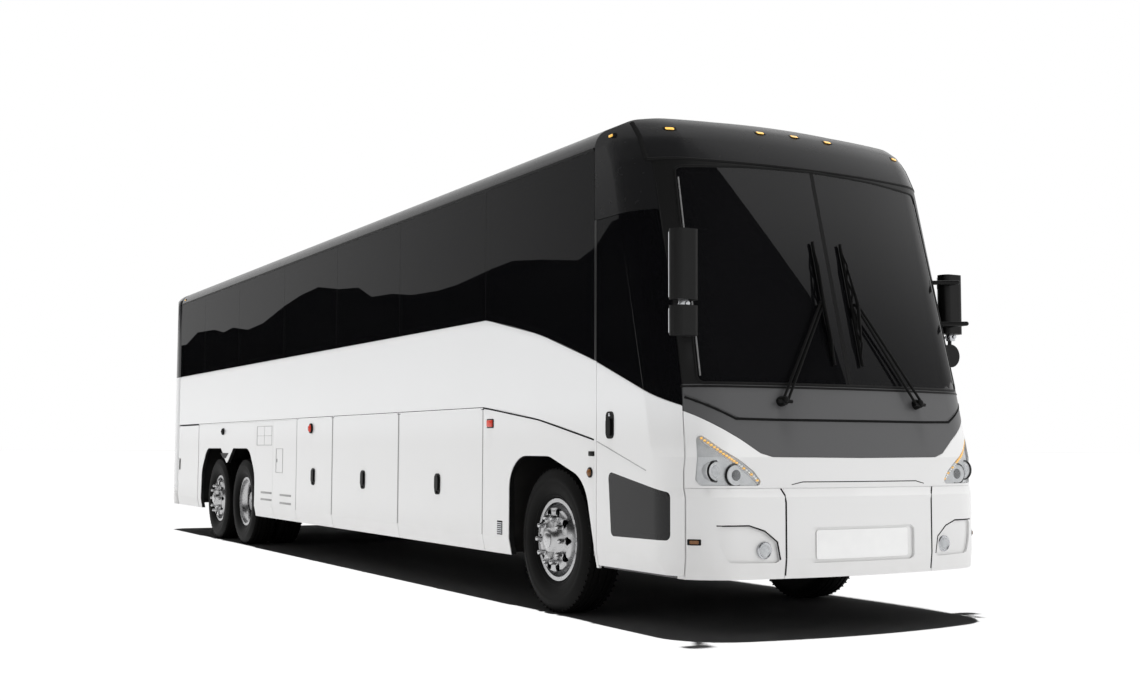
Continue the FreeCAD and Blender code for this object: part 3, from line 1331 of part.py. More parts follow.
def disc(barrel_x, face_x, d):
    """Wheel disc from the barrel's well to the hub face, with its hand holes."""
    z = TYRE_RADIUS
    t = DISC_THICK
    well = RIM_WELL + RIM_THICK / 2
    lean = t if face_x > barrel_x else -t
    profile = [(barrel_x - lean, well), (barrel_x + lean, well), (face_x + lean / 2, well * KNEE_SHARE)]
    profile += [(face_x + lean / 2, HUB_BORE + FIT), (face_x - lean / 2, HUB_BORE + FIT)]
    profile.append((face_x - lean / 2, well * BEND_SHARE))
    plate = turned(profile, d, z)
    holes = []
    for index in range(HAND_HOLES):
        angle = 2 * math.pi * index / HAND_HOLES
        y = d + HAND_HOLE_CIRCLE * math.cos(angle)
        h = z + HAND_HOLE_CIRCLE * math.sin(angle)
        holes.append(rod(V(face_x - 3 * t, y, h), V(face_x + 3 * t, y, h), HAND_HOLE_RADIUS))
    return plate.cut(holes)


OUTSET = 128.0
HUB_END = 1286.0
HUB_CAP_SHARE = 0.8
HUB_NECK_SHARE = 0.85
TWIN_HUB = 118.0
TWIN_HUB_SHARES = (0.8, 0.9)


def outset_rim(d):
    """Left rim with its disc near the outer face, the hub and its cap."""
    z = TYRE_RADIUS
    face = TYRE_CENTRE + OUTSET
    barrel = turned(rim_barrel(TYRE_CENTRE), d, z)
    plate = disc(TYRE_CENTRE + OUTSET / 3, face, d)
    hub = [(face - 3 * DISC_THICK, HUB_BORE), (HUB_END - DISC_THICK, HUB_BORE), (HUB_END - DISC_THICK, 0),
           (HUB_END, 0)]
    hub += [(HUB_END, HUB_CAP * HUB_CAP_SHARE), (HUB_END - DISC_THICK / 2, HUB_CAP),
            (face + DISC_THICK, HUB_CAP)]
    hub += [(face + DISC_THICK, HUB_RADIUS * HUB_NECK_SHARE), (face - DISC_THICK / 2, HUB_RADIUS)]
    hub.append((face - 3 * DISC_THICK, HUB_RADIUS))
    return fused([barrel, plate, turned(hub, d, z)])


def twin_rim(d):
    """Left pair of drive rims, their discs back to back, with the deep hub between."""
    z = TYRE_RADIUS
    inner = TYRE_CENTRE - TWIN_SPACING
    middle = (inner + TYRE_CENTRE) / 2
    t = DISC_THICK
    pieces = [turned(rim_barrel(TYRE_CENTRE), d, z), turned(rim_barrel(inner), d, z)]
    pieces.append(disc(TYRE_CENTRE - OUTSET / 3, middle + t / 2, d))
    pieces.append(disc(inner + OUTSET / 3, middle - t / 2, d))
    waist, foot = (TWIN_HUB * share for share in TWIN_HUB_SHARES)
    end = middle + TWIN_HUB_REACH + t
    hub = [(middle - 3 * t, HUB_BORE), (end - t, HUB_BORE), (end - t, HUB_BORE / 2), (end, HUB_BORE / 2)]
    hub += [(end, TWIN_HUB), (end - 2 * t, TWIN_HUB), (end - 2 * t, waist), (middle + 2 * t, foot)]
    hub += [(middle + t, HUB_RADIUS), (middle - 3 * t, HUB_RADIUS)]
    pieces.append(turned(hub, d, z))
    return fused(pieces)


# Inside

RACK_SHARE = 0.5546875          # of the height above the belt, where the luggage racks hang
RACK_LOW = BELT + RACK_SHARE * UPPER
RACK_EDGE = 660.0
RACK_THICK = 18.0
RACK_BACK = 14.0
RACK_LIP = 16.0
RACK_LIP_TALL = 140.0
RACK_TOP_CLEAR = 10.0           # under the roof
RACK_START = 1750.0
RACK_END_CLEAR = 150.0          # ahead of the rear cap


def luggage_rack():
    """Rack over the seats of the left side, hung on the wall above the windows."""
    outline = [(RACK_EDGE, RACK_LOW), (INNER, RACK_LOW), (INNER, CANTRAIL - RACK_TOP_CLEAR)]
    outline += [(INNER - RACK_BACK, CANTRAIL - RACK_TOP_CLEAR), (INNER - RACK_BACK, RACK_LOW + RACK_THICK)]
    outline += [(RACK_EDGE + RACK_LIP, RACK_LOW + RACK_THICK),
                (RACK_EDGE + RACK_LIP, RACK_LOW + RACK_LIP_TALL)]
    outline.append((RACK_EDGE, RACK_LOW + RACK_LIP_TALL))
    return front_prism(outline, RACK_START, REAR_CAP - RACK_END_CLEAR)


SEAT_ROWS = 13
SEAT_PITCH_SHARE = 0.07131      # of the run of side glass
SEAT_PITCH = SEAT_PITCH_SHARE * GLASS_RUN
SEAT_START = 2050.0
AISLE = 240.0
SEAT_EDGE = 1180.0
SEAT_DEEP = 430.0
SEAT_TALL_SHARE = 0.771429      # of the height from the floor to the racks
SEAT_TALL = SEAT_TALL_SHARE * (RACK_LOW - FLOOR_TOP)
SEAT_SHARES = [(0.05, 0.0), (0.55, 0.0), (0.55, 0.25), (0.92, 0.27), (1.0, 0.36), (1.36, 1.0), (1.24, 1.03),
               (0.86, 0.46),
               (0.0, 0.42), (0.0, 0.28), (0.05, 0.28)]


def seat_profile(d, floor):
    """Side outline of a seat from its base to the top of its back."""
    return [(d + SEAT_DEEP * back, floor + SEAT_TALL * up) for back, up in SEAT_SHARES]


def passenger_seats():
    """Rows of double seats on both sides of the aisle."""
    seats = []
    for row in range(SEAT_ROWS):
        d = SEAT_START + row * SEAT_PITCH
        for side in (1, -1):
            seats.append(side_prism(seat_profile(d, FLOOR_TOP), side * AISLE, side * SEAT_EDGE))
    return group(seats)


DRIVER_X = 660.0
DASH_TOP = 1500.0
DASH_WIDE = 980.0
DASH_SPLIT_SHARE = 0.3          # of that width, on the entrance side of the middle
DASH_PLACE_SHARE = 0.7          # across, where the dash meets the front
DASH_FOOT = 260.0
DASH_DEEP = 330.0
DASH_SHELF = 240.0
DASH_LIP = 160.0
COLUMN_RADIUS = 32.0
WHEEL_RING = 230.0
RING_RADIUS = 16.0
RING_SIDES = 8
SPOKE_RADIUS = 11.0
SPOKE_ANGLES = (30, 150, 270)


DRIVER_SEAT_HALF = 260.0
DRIVER_SEAT_FRONT = 900.0
DRIVER_CUSHION = 108.0
DRIVER_BACK_TALL = 720.0
DRIVER_BACK_SHARES = [(0.0, 0.0), (0.432, 0.0), (1.0, 1.0), (0.636, 1.0)]
DRIVER_BACK_DEEP = 247.5
PEDESTAL_HALF = 130.0
PEDESTAL_DEEP = 234.0


def driver_seat():
    """Driver's seat on its pedestal."""
    half = DRIVER_SEAT_HALF
    front = DRIVER_SEAT_FRONT
    foot = front + PEDESTAL_HALF
    pedestal = box(DRIVER_X - PEDESTAL_HALF, DRIVER_X + PEDESTAL_HALF, foot, foot + PEDESTAL_DEEP,
                   COCKPIT_FLOOR, FLOOR_LOW)
    low = FLOOR_LOW + DRIVER_CUSHION
    cushion = box(DRIVER_X - half, DRIVER_X + half, front, PILLAR_B - GAP, FLOOR_LOW, low)
    start = PILLAR_B - GAP - DRIVER_BACK_SHARES[1][0] * DRIVER_BACK_DEEP
    outline = [(start + DRIVER_BACK_DEEP * back, low + DRIVER_BACK_TALL * up) for back,
               up in DRIVER_BACK_SHARES]
    return fused([pedestal, cushion, side_prism(outline, DRIVER_X - half, DRIVER_X + half)])


def cockpit():
    """Dash across the front, with the steering column and wheel."""
    front = front_depth(INNER * DASH_PLACE_SHARE, FLOOR_LOW, WALL) + OVERRUN
    dash = side_prism([(front, COCKPIT_FLOOR), (front + DASH_FOOT, COCKPIT_FLOOR),
                       (front + DASH_DEEP, DASH_TOP - DASH_LIP),
                       (front + DASH_SHELF, DASH_TOP),
                       (front, DASH_TOP)], -DASH_WIDE * DASH_SPLIT_SHARE, DASH_WIDE)
    foot = V(DRIVER_X, front + DASH_SHELF - COLUMN_RADIUS, DASH_TOP - DASH_LIP)
    hub = V(DRIVER_X, front + DASH_DEEP, DASH_TOP + OVERRUN)
    column = rod(foot, hub, COLUMN_RADIUS)
    axis = (hub - foot).normalize()
    # section of the rim in the plane of its axis and a line across the bus
    corners = []
    for step in range(RING_SIDES + 1):
        angle = 2 * math.pi * (step + 1 / 2) / RING_SIDES
        out = WHEEL_RING + RING_RADIUS * math.cos(angle)
        corners.append(hub + V(out, 0, 0) + axis * (RING_RADIUS * math.sin(angle)))
    ring = Part.Face(Part.makePolygon(corners)).revolve(hub, axis, 360)
    spokes = []
    for angle in SPOKE_ANGLES:
        flat = V(math.cos(math.radians(angle)), 0, 0) + axis.cross(V(1, 0, 0)) * math.sin(math.radians(angle))
        spokes.append(rod(hub, hub + flat * WHEEL_RING, SPOKE_RADIUS))
    return fused([dash, column, ring] + spokes)


# Wipers and mirrors

SCREEN_TALL = SCREEN_TOP - COWL
WIPER_X = 574.0
WIPER_DROP = 113.0      # from the foot of the windscreen down to a wiper's pivot
WIPER_PIN = 22.0
WIPER_ROD = 9.0
WIPER_PROUD = 45.0
WIPER_SPREAD = 26.0     # half the space between an arm's two rods
WIPER_HEAD_X = 150.0
WIPER_HEAD_SHARE = 0.3684       # of the windscreen's height
YOKE_ROD = 11.7
BLADE_X = 120.0
BLADE_PROUD = 22.0
BLADE_ROD = 10.8
BLADE_SHARES = (0.0906, 0.6528)


def clear_of_front(shape):
    """Shape trimmed where it would run into the front of the body."""
    return shape.cut(front_envelope(-FIT, SKIRT))


def off_front(x, z, proud):
    """Point in front of the front's surface."""
    return V(x, front_depth(x, z) - proud, z)


def wiper(side):
    """Twin-rod arm from its pivot to a blade that stands beside the middle of the windscreen."""
    foot_x = side * WIPER_X
    foot_z = COWL - WIPER_DROP
    head_x = side * WIPER_HEAD_X
    head_z = COWL + WIPER_HEAD_SHARE * SCREEN_TALL
    blade_x = side * BLADE_X
    proud = WIPER_PROUD
    spread = WIPER_SPREAD
    pivot = off_front(foot_x, foot_z, 0)
    pieces = [rod(pivot + V(0, WIPER_PIN, 0), pivot + V(0, -proud - WIPER_ROD, 0), WIPER_PIN)]
    for shift in (-spread, spread):
        start = off_front(foot_x + shift, foot_z + shift / 2, proud)
        pieces.append(rod(start, off_front(head_x + shift / 2, head_z, proud), WIPER_ROD))
    pieces.append(rod(off_front(foot_x - 2 * spread, foot_z, proud),
                      off_front(foot_x + 2 * spread, foot_z, proud), YOKE_ROD))
    pieces.append(rod(off_front(head_x - spread, head_z, proud), off_front(head_x + spread, head_z, proud),
                      YOKE_ROD))
    low, high = (off_front(blade_x, COWL + share * SCREEN_TALL, BLADE_PROUD) for share in BLADE_SHARES)
    pieces.append(rod(low, high, BLADE_ROD))
    pieces.append(rod(off_front(head_x, head_z, proud), off_front(blade_x, head_z, BLADE_PROUD), WIPER_ROD))
    return clear_of_front(fused(pieces))


MIRROR_TALL = 440.0
MIRROR_WIDE = 200.0
MIRROR_DEEP = 110.0
MIRROR_RADIUS = 45.0
MIRROR_TAPER_SHARE = 0.8
MIRROR_RIM = 14.0
MIRROR_X = 1350.0
MIRROR_RIGHT_D = 150.0
MIRROR_LEFT_D = 640.0
MIRROR_RIGHT_SHARE = 0.3287     # of the windscreen's height, where the head begins
MIRROR_LEFT_SHARE = 0.289
MIRROR_ROOT_RIGHT = 1130.0
MIRROR_ROOT_LEFT = 1150.0
SMALL_MIRROR_SHARE = 0.42
SMALL_MIRROR_DROP = 220.0       # from the foot of the main head to that of the small one
ARM_FOOT_DROP = 180.0
ARM_ELBOW_DROP = 20.0
ARM_HIGH_RISE = 310.0
ARM_TIP_RISE = 390.0
ARM_TIP_IN = 60.0
MIRROR_ARM = 20.0
MIRROR_CLAMP = 24.0
CLAMP_HALF = 50.0
MIRROR_STAY = 14.0
LEFT_ARM = 16.0
LEFT_ARM_RISES = (60.0, 370.0)
ROUND_MIRROR = 85.0
ROUND_MIRROR_DEEP = 60.0
ROUND_MIRROR_DROP = 160.0


def mirror_head(x, d, z, tall):
    """Mirror housing with a dished face at its rear."""
    half = MIRROR_WIDE / 2
    nose = half * MIRROR_TAPER_SHARE
    outline = [(x - half, d), (x + half, d), (x + nose, d - MIRROR_DEEP), (x - nose, d - MIRROR_DEEP)]
    body = plan_prism(outline, z, z + tall, MIRROR_RADIUS)
    rim = MIRROR_RIM
    glass = box(x - half + rim, x + half - rim, d - rim, d + rim, z + rim, z + tall - rim)
    return body.cut(glass)


def mirror_right():
    """Mirror ahead of the entrance door, on an arm from the windscreen's pillar."""
    x = MIRROR_X
    d = MIRROR_RIGHT_D
    z = COWL + MIRROR_RIGHT_SHARE * SCREEN_TALL
    head = mirror_head(x, d, z, MIRROR_TALL)
    small = mirror_head(x, d, z - SMALL_MIRROR_DROP, MIRROR_TALL * SMALL_MIRROR_SHARE)
    middle = d - MIRROR_DEEP / 2
    elbow = V(x, middle, z - ARM_ELBOW_DROP)
    low_root = off_front(MIRROR_ROOT_RIGHT, z - ARM_FOOT_DROP, -SKIN / 2)
    high_root = off_front(MIRROR_ROOT_RIGHT, z + ARM_HIGH_RISE, -SKIN / 2)
    arm = [rod(low_root, elbow, MIRROR_ARM)]
    arm.append(rod(elbow - V(0, 0, CLAMP_HALF), elbow + V(0, 0, CLAMP_HALF), MIRROR_CLAMP))
    arm.append(rod(high_root, V(x - ARM_TIP_IN, middle, z + ARM_TIP_RISE), MIRROR_STAY))
    return mirrored(clear_of_front(fused([head, small] + arm)))


def mirror_left():
    """Mirror beside the driver's window, with a round wide-angle mirror below."""
    x = MIRROR_X
    d = MIRROR_LEFT_D
    low = COWL + MIRROR_LEFT_SHARE * SCREEN_TALL
    head = mirror_head(x, d, low, MIRROR_TALL)
    middle = V(x, d - ROUND_MIRROR_DEEP, low - ROUND_MIRROR_DROP)
    disc = rod(middle, middle + V(0, ROUND_MIRROR_DEEP, 0), ROUND_MIRROR)
    stem_foot = middle + V(0, MIRROR_RIM, 0)
    stem = rod(stem_foot, stem_foot + V(0, 0, ROUND_MIRROR_DROP + MIRROR_RADIUS), MIRROR_STAY)
    pieces = [head, disc, stem]
    for rise in LEFT_ARM_RISES:
        z = low + rise
        root = off_front(MIRROR_ROOT_LEFT, z, -SKIN / 2)
        elbow = V(x - ARM_TIP_IN, root.y - MIRROR_DEEP, z)
        tip = V(x - ARM_TIP_IN, d - MIRROR_DEEP / 2, z)
        pieces += [rod(root, elbow, LEFT_ARM), Part.makeSphere(LEFT_ARM, elbow), rod(elbow, tip, LEFT_ARM)]
    return clear_of_front(fused(pieces))


def write(name, shape):
    """Save a node, with the middle of the bus at the origin."""
    placed = shape.copy()
    placed.translate(V(0, -LENGTH / 2, 0))
    placed.exportStep(os.path.join(OUT, name + ".step"))
    flag = "" if placed.isValid() else "NOT VALID"
    print(name, len(placed.Solids), "solids", round(placed.Volume / 1e9, 4), flag)


def main():
    panels = group(lower_panels())
    write("lower_panels", group([panels, mirrored(panels), driver_corner_panel()]))
    wall = side_wall()
    write("side_walls", group([wall, driver_corner_wall(), mirrored(wall), door_post()]))
    panes = group(side_windows())
    write("windows", group([panes, mirrored(panes), driver_window(), rear_window()]))
    for index, (start, end) in enumerate(zip(BAY_SEAMS, BAY_SEAMS[1:])):
        door = bay_door(start, end)
        write("luggage_door_left_%d" % (index + 1), door)
        write("luggage_door_right_%d" % (index + 1), mirrored(door))
    write("radiator_door", service_door(True))
    write("service_door", mirrored(service_door(False)))
    write("entrance_door", entrance_door())
    write("entrance_door_glass", entrance_door_glass())
    write("entrance_arms", entrance_arms())
    write("windscreen", windscreen())
    write("screen_surround", group([screen_surround(), front_mask()]))
    write("front_panel", front_panel())
    write("front_lamps", group([headlamps()] + fog_lamps()))
    write("front_bumper", front_bumper())
    write("front_cap", front_cap())
    write("roof", roof())
    for name, d in zip(("hatch_front", "hatch_rear"), HATCHES):
        write(name, hatch(d))
    write("rear_cap", rear_cap())
    write("engine_door", engine_door())
    write("rear_bumper", rear_bumper())
    write("rear_lamps", rear_lamps())
    write("passenger_floor", passenger_floor())
    write("entrance_steps", entrance_steps())
    write("bay_floor", bay_floor())
    write("bulkheads", group(bulkhead(d) for d in BULKHEADS + [REAR_BULKHEAD]))
    write("frame_rails", frame_rails())
    rack = luggage_rack()
    write("luggage_racks", group([rack, mirrored(rack)]))
    write("wheel_housings", wheel_housings())
    write("engine", engine())
    write("front_axle", front_axle())
    fork = knuckle()
    write("knuckle_left", fork)
    write("knuckle_right", mirrored(fork))
    write("rear_axles", group([rear_beam(DRIVE_AXLE, DRIVE_BEAM, DIFFERENTIAL, True),
                               rear_beam(TAG_AXLE, TAG_BEAM, 0, False)]))
    for name, d in (("front", FRONT_AXLE), ("tag", TAG_AXLE)):
        tyre = turned(tyre_profile(TYRE_CENTRE), d, TYRE_RADIUS)
        rim = outset_rim(d)
        write("tyre_%s_left" % name, tyre)
        write("tyre_%s_right" % name, mirrored(tyre))
        write("rim_%s_left" % name, rim)
        write("rim_%s_right" % name, mirrored(rim))
    twins = group(turned(tyre_profile(x), DRIVE_AXLE, TYRE_RADIUS)
                  for x in (TYRE_CENTRE, TYRE_CENTRE - TWIN_SPACING))
    rims = twin_rim(DRIVE_AXLE)
    write("tyre_drive_left", twins)
    write("tyre_drive_right", mirrored(twins))
    write("rim_drive_left", rims)
    write("rim_drive_right", mirrored(rims))
    write("seats", group([passenger_seats(), driver_seat()]))
    write("cockpit", cockpit())
    write("wipers", group([wiper(1), wiper(-1)]))
    write("mirrors", group([mirror_right(), mirror_left()]))


main()
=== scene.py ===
import json
import math

import bmesh
import bpy
from mathutils import Matrix, Vector


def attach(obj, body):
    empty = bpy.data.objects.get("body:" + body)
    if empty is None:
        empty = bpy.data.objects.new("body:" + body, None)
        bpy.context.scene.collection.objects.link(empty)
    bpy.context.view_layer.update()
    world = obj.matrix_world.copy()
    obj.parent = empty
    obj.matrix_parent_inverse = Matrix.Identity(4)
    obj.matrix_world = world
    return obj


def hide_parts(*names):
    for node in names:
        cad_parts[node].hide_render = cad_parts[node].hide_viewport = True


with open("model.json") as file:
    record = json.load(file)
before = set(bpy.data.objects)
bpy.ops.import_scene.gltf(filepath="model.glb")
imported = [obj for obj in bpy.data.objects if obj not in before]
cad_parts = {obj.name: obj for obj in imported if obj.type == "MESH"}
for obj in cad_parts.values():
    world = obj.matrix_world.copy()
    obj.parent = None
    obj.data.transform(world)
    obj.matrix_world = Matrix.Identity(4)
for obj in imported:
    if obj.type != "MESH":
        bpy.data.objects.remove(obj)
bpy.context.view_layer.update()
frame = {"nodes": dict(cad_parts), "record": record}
nodes = frame["nodes"]
body_of = {name: body for body, names in frame["record"]["behaviour"]["bodies"].items() for name in names}


def place(name, data):
    """Puts a new object in the scene."""
    made = bpy.data.objects.new(name, data)
    bpy.context.scene.collection.objects.link(made)
    return made


# The viewpoint: low in front of the entrance side, with a moderate lens, as a coach is shown in a catalogue.
EYE = Vector((-6.045, -13.835, 1.188))
YAW = math.radians(29.05)
PITCH = math.radians(4.15)
ROLL = math.radians(0.2)
LENS = 43.32
SENSOR = 36.0
FAR_CLIP = 1000.0

ahead = Vector((math.sin(YAW) * math.cos(PITCH), math.cos(YAW) * math.cos(PITCH), math.sin(PITCH)))
across = ahead.cross(Vector((0, 0, 1))).normalized()
turn = Matrix((across, across.cross(ahead), -ahead)).transposed() @ Matrix.Rotation(ROLL, 3, "Z")
camera = place("camera", bpy.data.cameras.new("camera"))
camera.data.lens = LENS
camera.data.sensor_width = SENSOR
camera.data.clip_end = FAR_CLIP
camera.matrix_world = Matrix.Translation(EYE) @ turn.to_4x4()
bpy.context.scene.camera = camera


# Shader maths: a wire is one node socket, and an expression on wires adds its Math nodes.
class Wire:
    def __init__(self, tree, socket):
        self.tree = tree
        self.socket = socket

    def node(self, kind, values, out=0, **settings):
        """Adds a node: its settings first, then the values or links of its inputs."""
        made = self.tree.nodes.new(kind if "Node" in kind else "ShaderNode" + kind)
        for name, value in settings.items():
            setattr(made, name, value)
        for name, value in values.items():
            if isinstance(value, Wire):
                self.tree.links.new(value.socket, made.inputs[name])
            else:
                made.inputs[name].default_value = value
        return Wire(self.tree, made.outputs[out])

    def maths(self, operation, first, second=0.0):
        return self.node("Math", {0: first, 1: second}, operation=operation)

    def __add__(self, other):
        return self.maths("ADD", self, other)

    def __sub__(self, other):
        return self.maths("SUBTRACT", self, other)

    def __rsub__(self, other):
        return self.maths("SUBTRACT", other, self)

    def __mul__(self, other):
        return self.maths("MULTIPLY", self, other)

    def __gt__(self, other):
        return self.maths("GREATER_THAN", self, other)

    def __lt__(self, other):
        return self.maths("LESS_THAN", self, other)

    def step(self, low, high):
        """Rises smoothly from 0 at low to 1 at high."""
        values = {"Value": self, "From Min": low, "From Max": high}
        return self.node("MapRange", values, interpolation_type="SMOOTHSTEP")

    def noise(self, scale, detail=3.0, stretch=(1, 1, 1)):
        """Noise over a point, from 0 to 1."""
        point = self.node("Mapping", {"Vector": self, "Scale": stretch})
        return self.node("TexNoise", {"Vector": point, "Scale": scale, "Detail": detail})

    def tint(self, dark, light):
        """Colour between two, by this value. One number stands for a grey."""
        values = {0: self}
        for index, tone in ((6, dark), (7, light)):
            tone = (tone,) * 3 if isinstance(tone, float) else tone
            values[index] = tone if isinstance(tone, Wire) else (*tone, 1)
        return self.node("Mix", values, 2, data_type="RGBA", clamp_factor=True)


class Finish:
    """A surface: its own numbers set on the shader, and what changes over it painted on."""

    def __init__(self, name, **numbers):
        self.material = bpy.data.materials.new(name)
        self.material.use_nodes = True
        self.tree = self.material.node_tree
        self.shader = self.tree.nodes["Principled BSDF"]
        for label, value in numbers.items():
            self.shader.inputs[label.replace("_", " ")].default_value = value
        self.point = Wire(self.tree, self.tree.nodes.new("ShaderNodeTexCoord").outputs["Object"])
        split = self.tree.nodes.new("ShaderNodeSeparateXYZ")
        self.tree.links.new(self.point.socket, split.inputs[0])
        self.x, self.y, self.z = (Wire(self.tree, socket) for socket in split.outputs)

    def paint(self, **wires):
        for label, wire in wires.items():
            self.tree.links.new(wire.socket, self.shader.inputs[label.replace("_", " ")])

    def relief(self, height, distance):
        self.paint(Normal=height.node("Bump", {"Height": height, "Distance": distance}))


def mottled(name, scale, dark, light, rough=None, detail=3.0, stretch=(1, 1, 1), relief=None, **numbers):
    """A finish whose colour wanders with one noise, and so do its roughness, by (least, spread), and its relief."""
    made = Finish(name, **numbers)
    noise = made.point.noise(scale, detail, stretch)
    made.paint(Base_Color=noise.tint(dark, light))
    if rough:
        made.paint(Roughness=noise * rough[1] + rough[0])
    if relief:
        made.relief(noise, relief)
    return made


def coat(names, finish):
    """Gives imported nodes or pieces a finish."""
    for name in names:
        thing = nodes[name] if isinstance(name, str) else name
        thing.data.materials.clear()
        thing.data.materials.append(finish.material)


# The studio: a grey floor lit to white by a lamp straight overhead, which puts the shadow under the bus, and a white
# surround. The other lamps light the bus alone: one overhead, and two wide ones that leave its front corner darker.
FLOOR_HALF = 400.0
floor_mesh = bpy.data.meshes.new("floor")
corners = [(x * FLOOR_HALF, y * FLOOR_HALF, 0) for x, y in ((-1, -1), (1, -1), (1, 1), (-1, 1))]
floor_mesh.from_pydata(corners, [], [(0, 1, 2, 3)])
floor = place("floor", floor_mesh)
coat([floor], mottled("studio_floor", 0.6, 0.395, 0.405, Roughness=0.9, Specular_IOR_Level=0.0))
reach_of = {}
for state in ("INCLUDE", "EXCLUDE"):
    reach_of[state] = bpy.data.collections.new("floor_" + state.lower())
    reach_of[state].objects.link(floor)
    reach_of[state].collection_objects[0].light_linking.link_state = state

for label, direction, level, spread, state in (
    ("floor_light", (-0.03, 0.02, 1.0), 7.8, 1.5, "INCLUDE"),
    ("overhead", (-0.03, 0.02, 1.0), 3.0, 20.0, "EXCLUDE"),
    ("entrance_side", (-1.0, 0.75, 0.55), 1.45, 60.0, "EXCLUDE"),
    ("driver_side", (0.55, -1.0, 0.55), 1.75, 60.0, "EXCLUDE"),
):
    lamp = place(label, bpy.data.lights.new(label, "SUN"))
    lamp.data.energy = level
    lamp.data.angle = math.radians(spread)
    lamp.rotation_euler = Vector(direction).to_track_quat("Z", "Y").to_euler()
    lamp.light_linking.receiver_collection = reach_of[state]
    lamp.visible_glossy = False

SKY = 0.08
world = bpy.data.worlds.new("studio")
world.use_nodes = True
bpy.context.scene.world = world
rays = world.node_tree.nodes.new("ShaderNodeLightPath")
seen = Wire(world.node_tree, rays.outputs["Is Camera Ray"])
for label in ("Is Glossy Ray", "Is Transmission Ray"):
    seen = seen.maths("MAXIMUM", seen, Wire(world.node_tree, rays.outputs[label]))
background = world.node_tree.nodes["Background"]
world.node_tree.links.new((seen * (1 - SKY) + SKY).socket, background.inputs["Strength"])
background.inputs["Color"].default_value = (1, 1, 1, 1)


HALF_LENGTH = 6.92
HALF_WIDTH = 1.295
SIDES = (("right", -1), ("left", 1))


def along_bus(distance):
    """Place along the bus of a distance back from its front."""
    return distance - HALF_LENGTH


# The front is one surface, bowed in plan and leaning back in steps. What is fitted to it finds its place here.
FRONT_BOW = 4.5
FRONT_CORNER = 0.45
FRONT_LEAN = [(0.38, 0.015), (0.505, 0.0), (0.893, 0.0), (0.948, 0.018), (1.143, 0.018), (1.613, 0.13),
              (3.125, 0.525), (3.29, 0.6114), (3.39875, 0.6978), (3.45875, 0.7842), (3.48875, 0.8802), (3.56, 1.005)]
ROOF_FRONT = 3.125
BLEND = 0.05


def front_lean(z):
    """How far the front lies back at a height, and how steeply."""
    for (low, start), (high, end) in zip(FRONT_LEAN, FRONT_LEAN[1:]):
        if z <= high:
            break
    slope = (end - start) / (high - low)
    return start + slope * (z - low), slope


def front_turn(x):
    """How far round the bow of the front a place across lies, and how deep it is there."""
    middle = HALF_WIDTH - FRONT_CORNER
    reach = FRONT_BOW - FRONT_CORNER
    if abs(x) <= FRONT_BOW * middle / reach:
        angle = math.asin(abs(x) / FRONT_BOW)
        return angle, FRONT_BOW - FRONT_BOW * math.cos(angle)
    angle = math.asin(min(1.0, (abs(x) - middle) / FRONT_CORNER))
    return angle, FRONT_BOW - math.sqrt(reach * reach - middle * middle) - FRONT_CORNER * math.cos(angle)


def on_front(x, z, proud=0.0):
    """Point of the front surface at a place across and a height, standing off it by an amount."""
    angle, depth = front_turn(x)
    out = Vector((math.copysign(math.sin(angle), x), -math.cos(angle), 0))
    return Vector((x, along_bus(front_lean(z)[0] + depth), z)) + out * proud


def front_normal(x, z):
    """Direction that the front surface faces, blended over its steps where the roof curves."""
    angle = front_turn(x)[0]
    slope = front_lean(z)[1]
    if z > ROOF_FRONT:
        slope = (front_lean(z + BLEND)[0] - front_lean(z - BLEND)[0]) / (2 * BLEND)
    return Vector((math.copysign(math.sin(angle), x), -math.cos(angle), slope * math.cos(angle))).normalized()


# Four cards that only the glass mirrors. A ridge of dark hills with a grey evening sky over it stands off the entrance
# side, and a dark one with a hazy sky behind it hangs ahead of the windscreen. Each is laid out from the line that its
# image draws on the glass.
BELT = 2.22
BELT_SWEEP = [(0.0, 1.344), (1.26, 1.792), (2.11, 2.039), (3.04, BELT), (14.0, BELT)]
GLASS_NORMAL = Vector((-1, 0, 0))
RIDGE_REACH = 40.0
SKY_REACH = 46.0
SKYLINE = [(13.53, 2.69), (13.04, 2.68), (12.41, 2.81), (11.48, 2.78), (11.02, 2.71), (10.58, 2.74), (9.89, 2.66),
           (9.24, 2.69), (8.42, 2.82), (7.8, 2.89), (7.21, 2.92), (6.54, 2.83), (5.98, 2.79), (5.61, 2.66),
           (5.09, 2.64), (4.59, 2.58), (4.0, 2.56), (3.6, 2.57), (2.92, 2.63), (2.56, 2.65), (2.06, 2.60),
           (1.52, 2.53), (1.26, 2.60), (1.05, 2.74), (0.8, 2.76), (0.5, 2.82), (0.35, 2.84)]
GLARE_REACH = 30.0
HAZE_REACH = 34.0
GLARE = [(3.30, -1.27, -0.90), (3.081, -1.27, -0.759), (2.172, -1.27, -0.175), (1.95, -1.27, -0.09),
         (1.55, -1.27, -0.02), (1.20, -1.27, -1.00)]


def mirrored(point, normal, reach):
    """Where the line of sight to a point of the glass goes on to, so far beyond it."""
    sight = (point - EYE).normalized()
    return point + (sight - normal * (2 * sight.dot(normal))) * reach


def off_side_glass(distance, height, reach):
    return mirrored(Vector((-HALF_WIDTH, along_bus(distance), height)), GLASS_NORMAL, reach)


def off_front(places, height, reach):
    return [mirrored(on_front(x, height), front_normal(x, height), reach) for x in places]


def belt_height(distance):
    """Height of the line between the paint and the side glass."""
    for (start, low), (end, high) in zip(BELT_SWEEP, BELT_SWEEP[1:]):
        if distance <= end:
            break
    return low + (high - low) * (distance - start) / (end - start)


def matt(name, scale, dark, light):
    """A card's dull face, with the glow of a sky to be painted on."""
    return mottled(name, scale, dark, light, Roughness=1.0, Specular_IOR_Level=0.0, Emission_Strength=1.0)


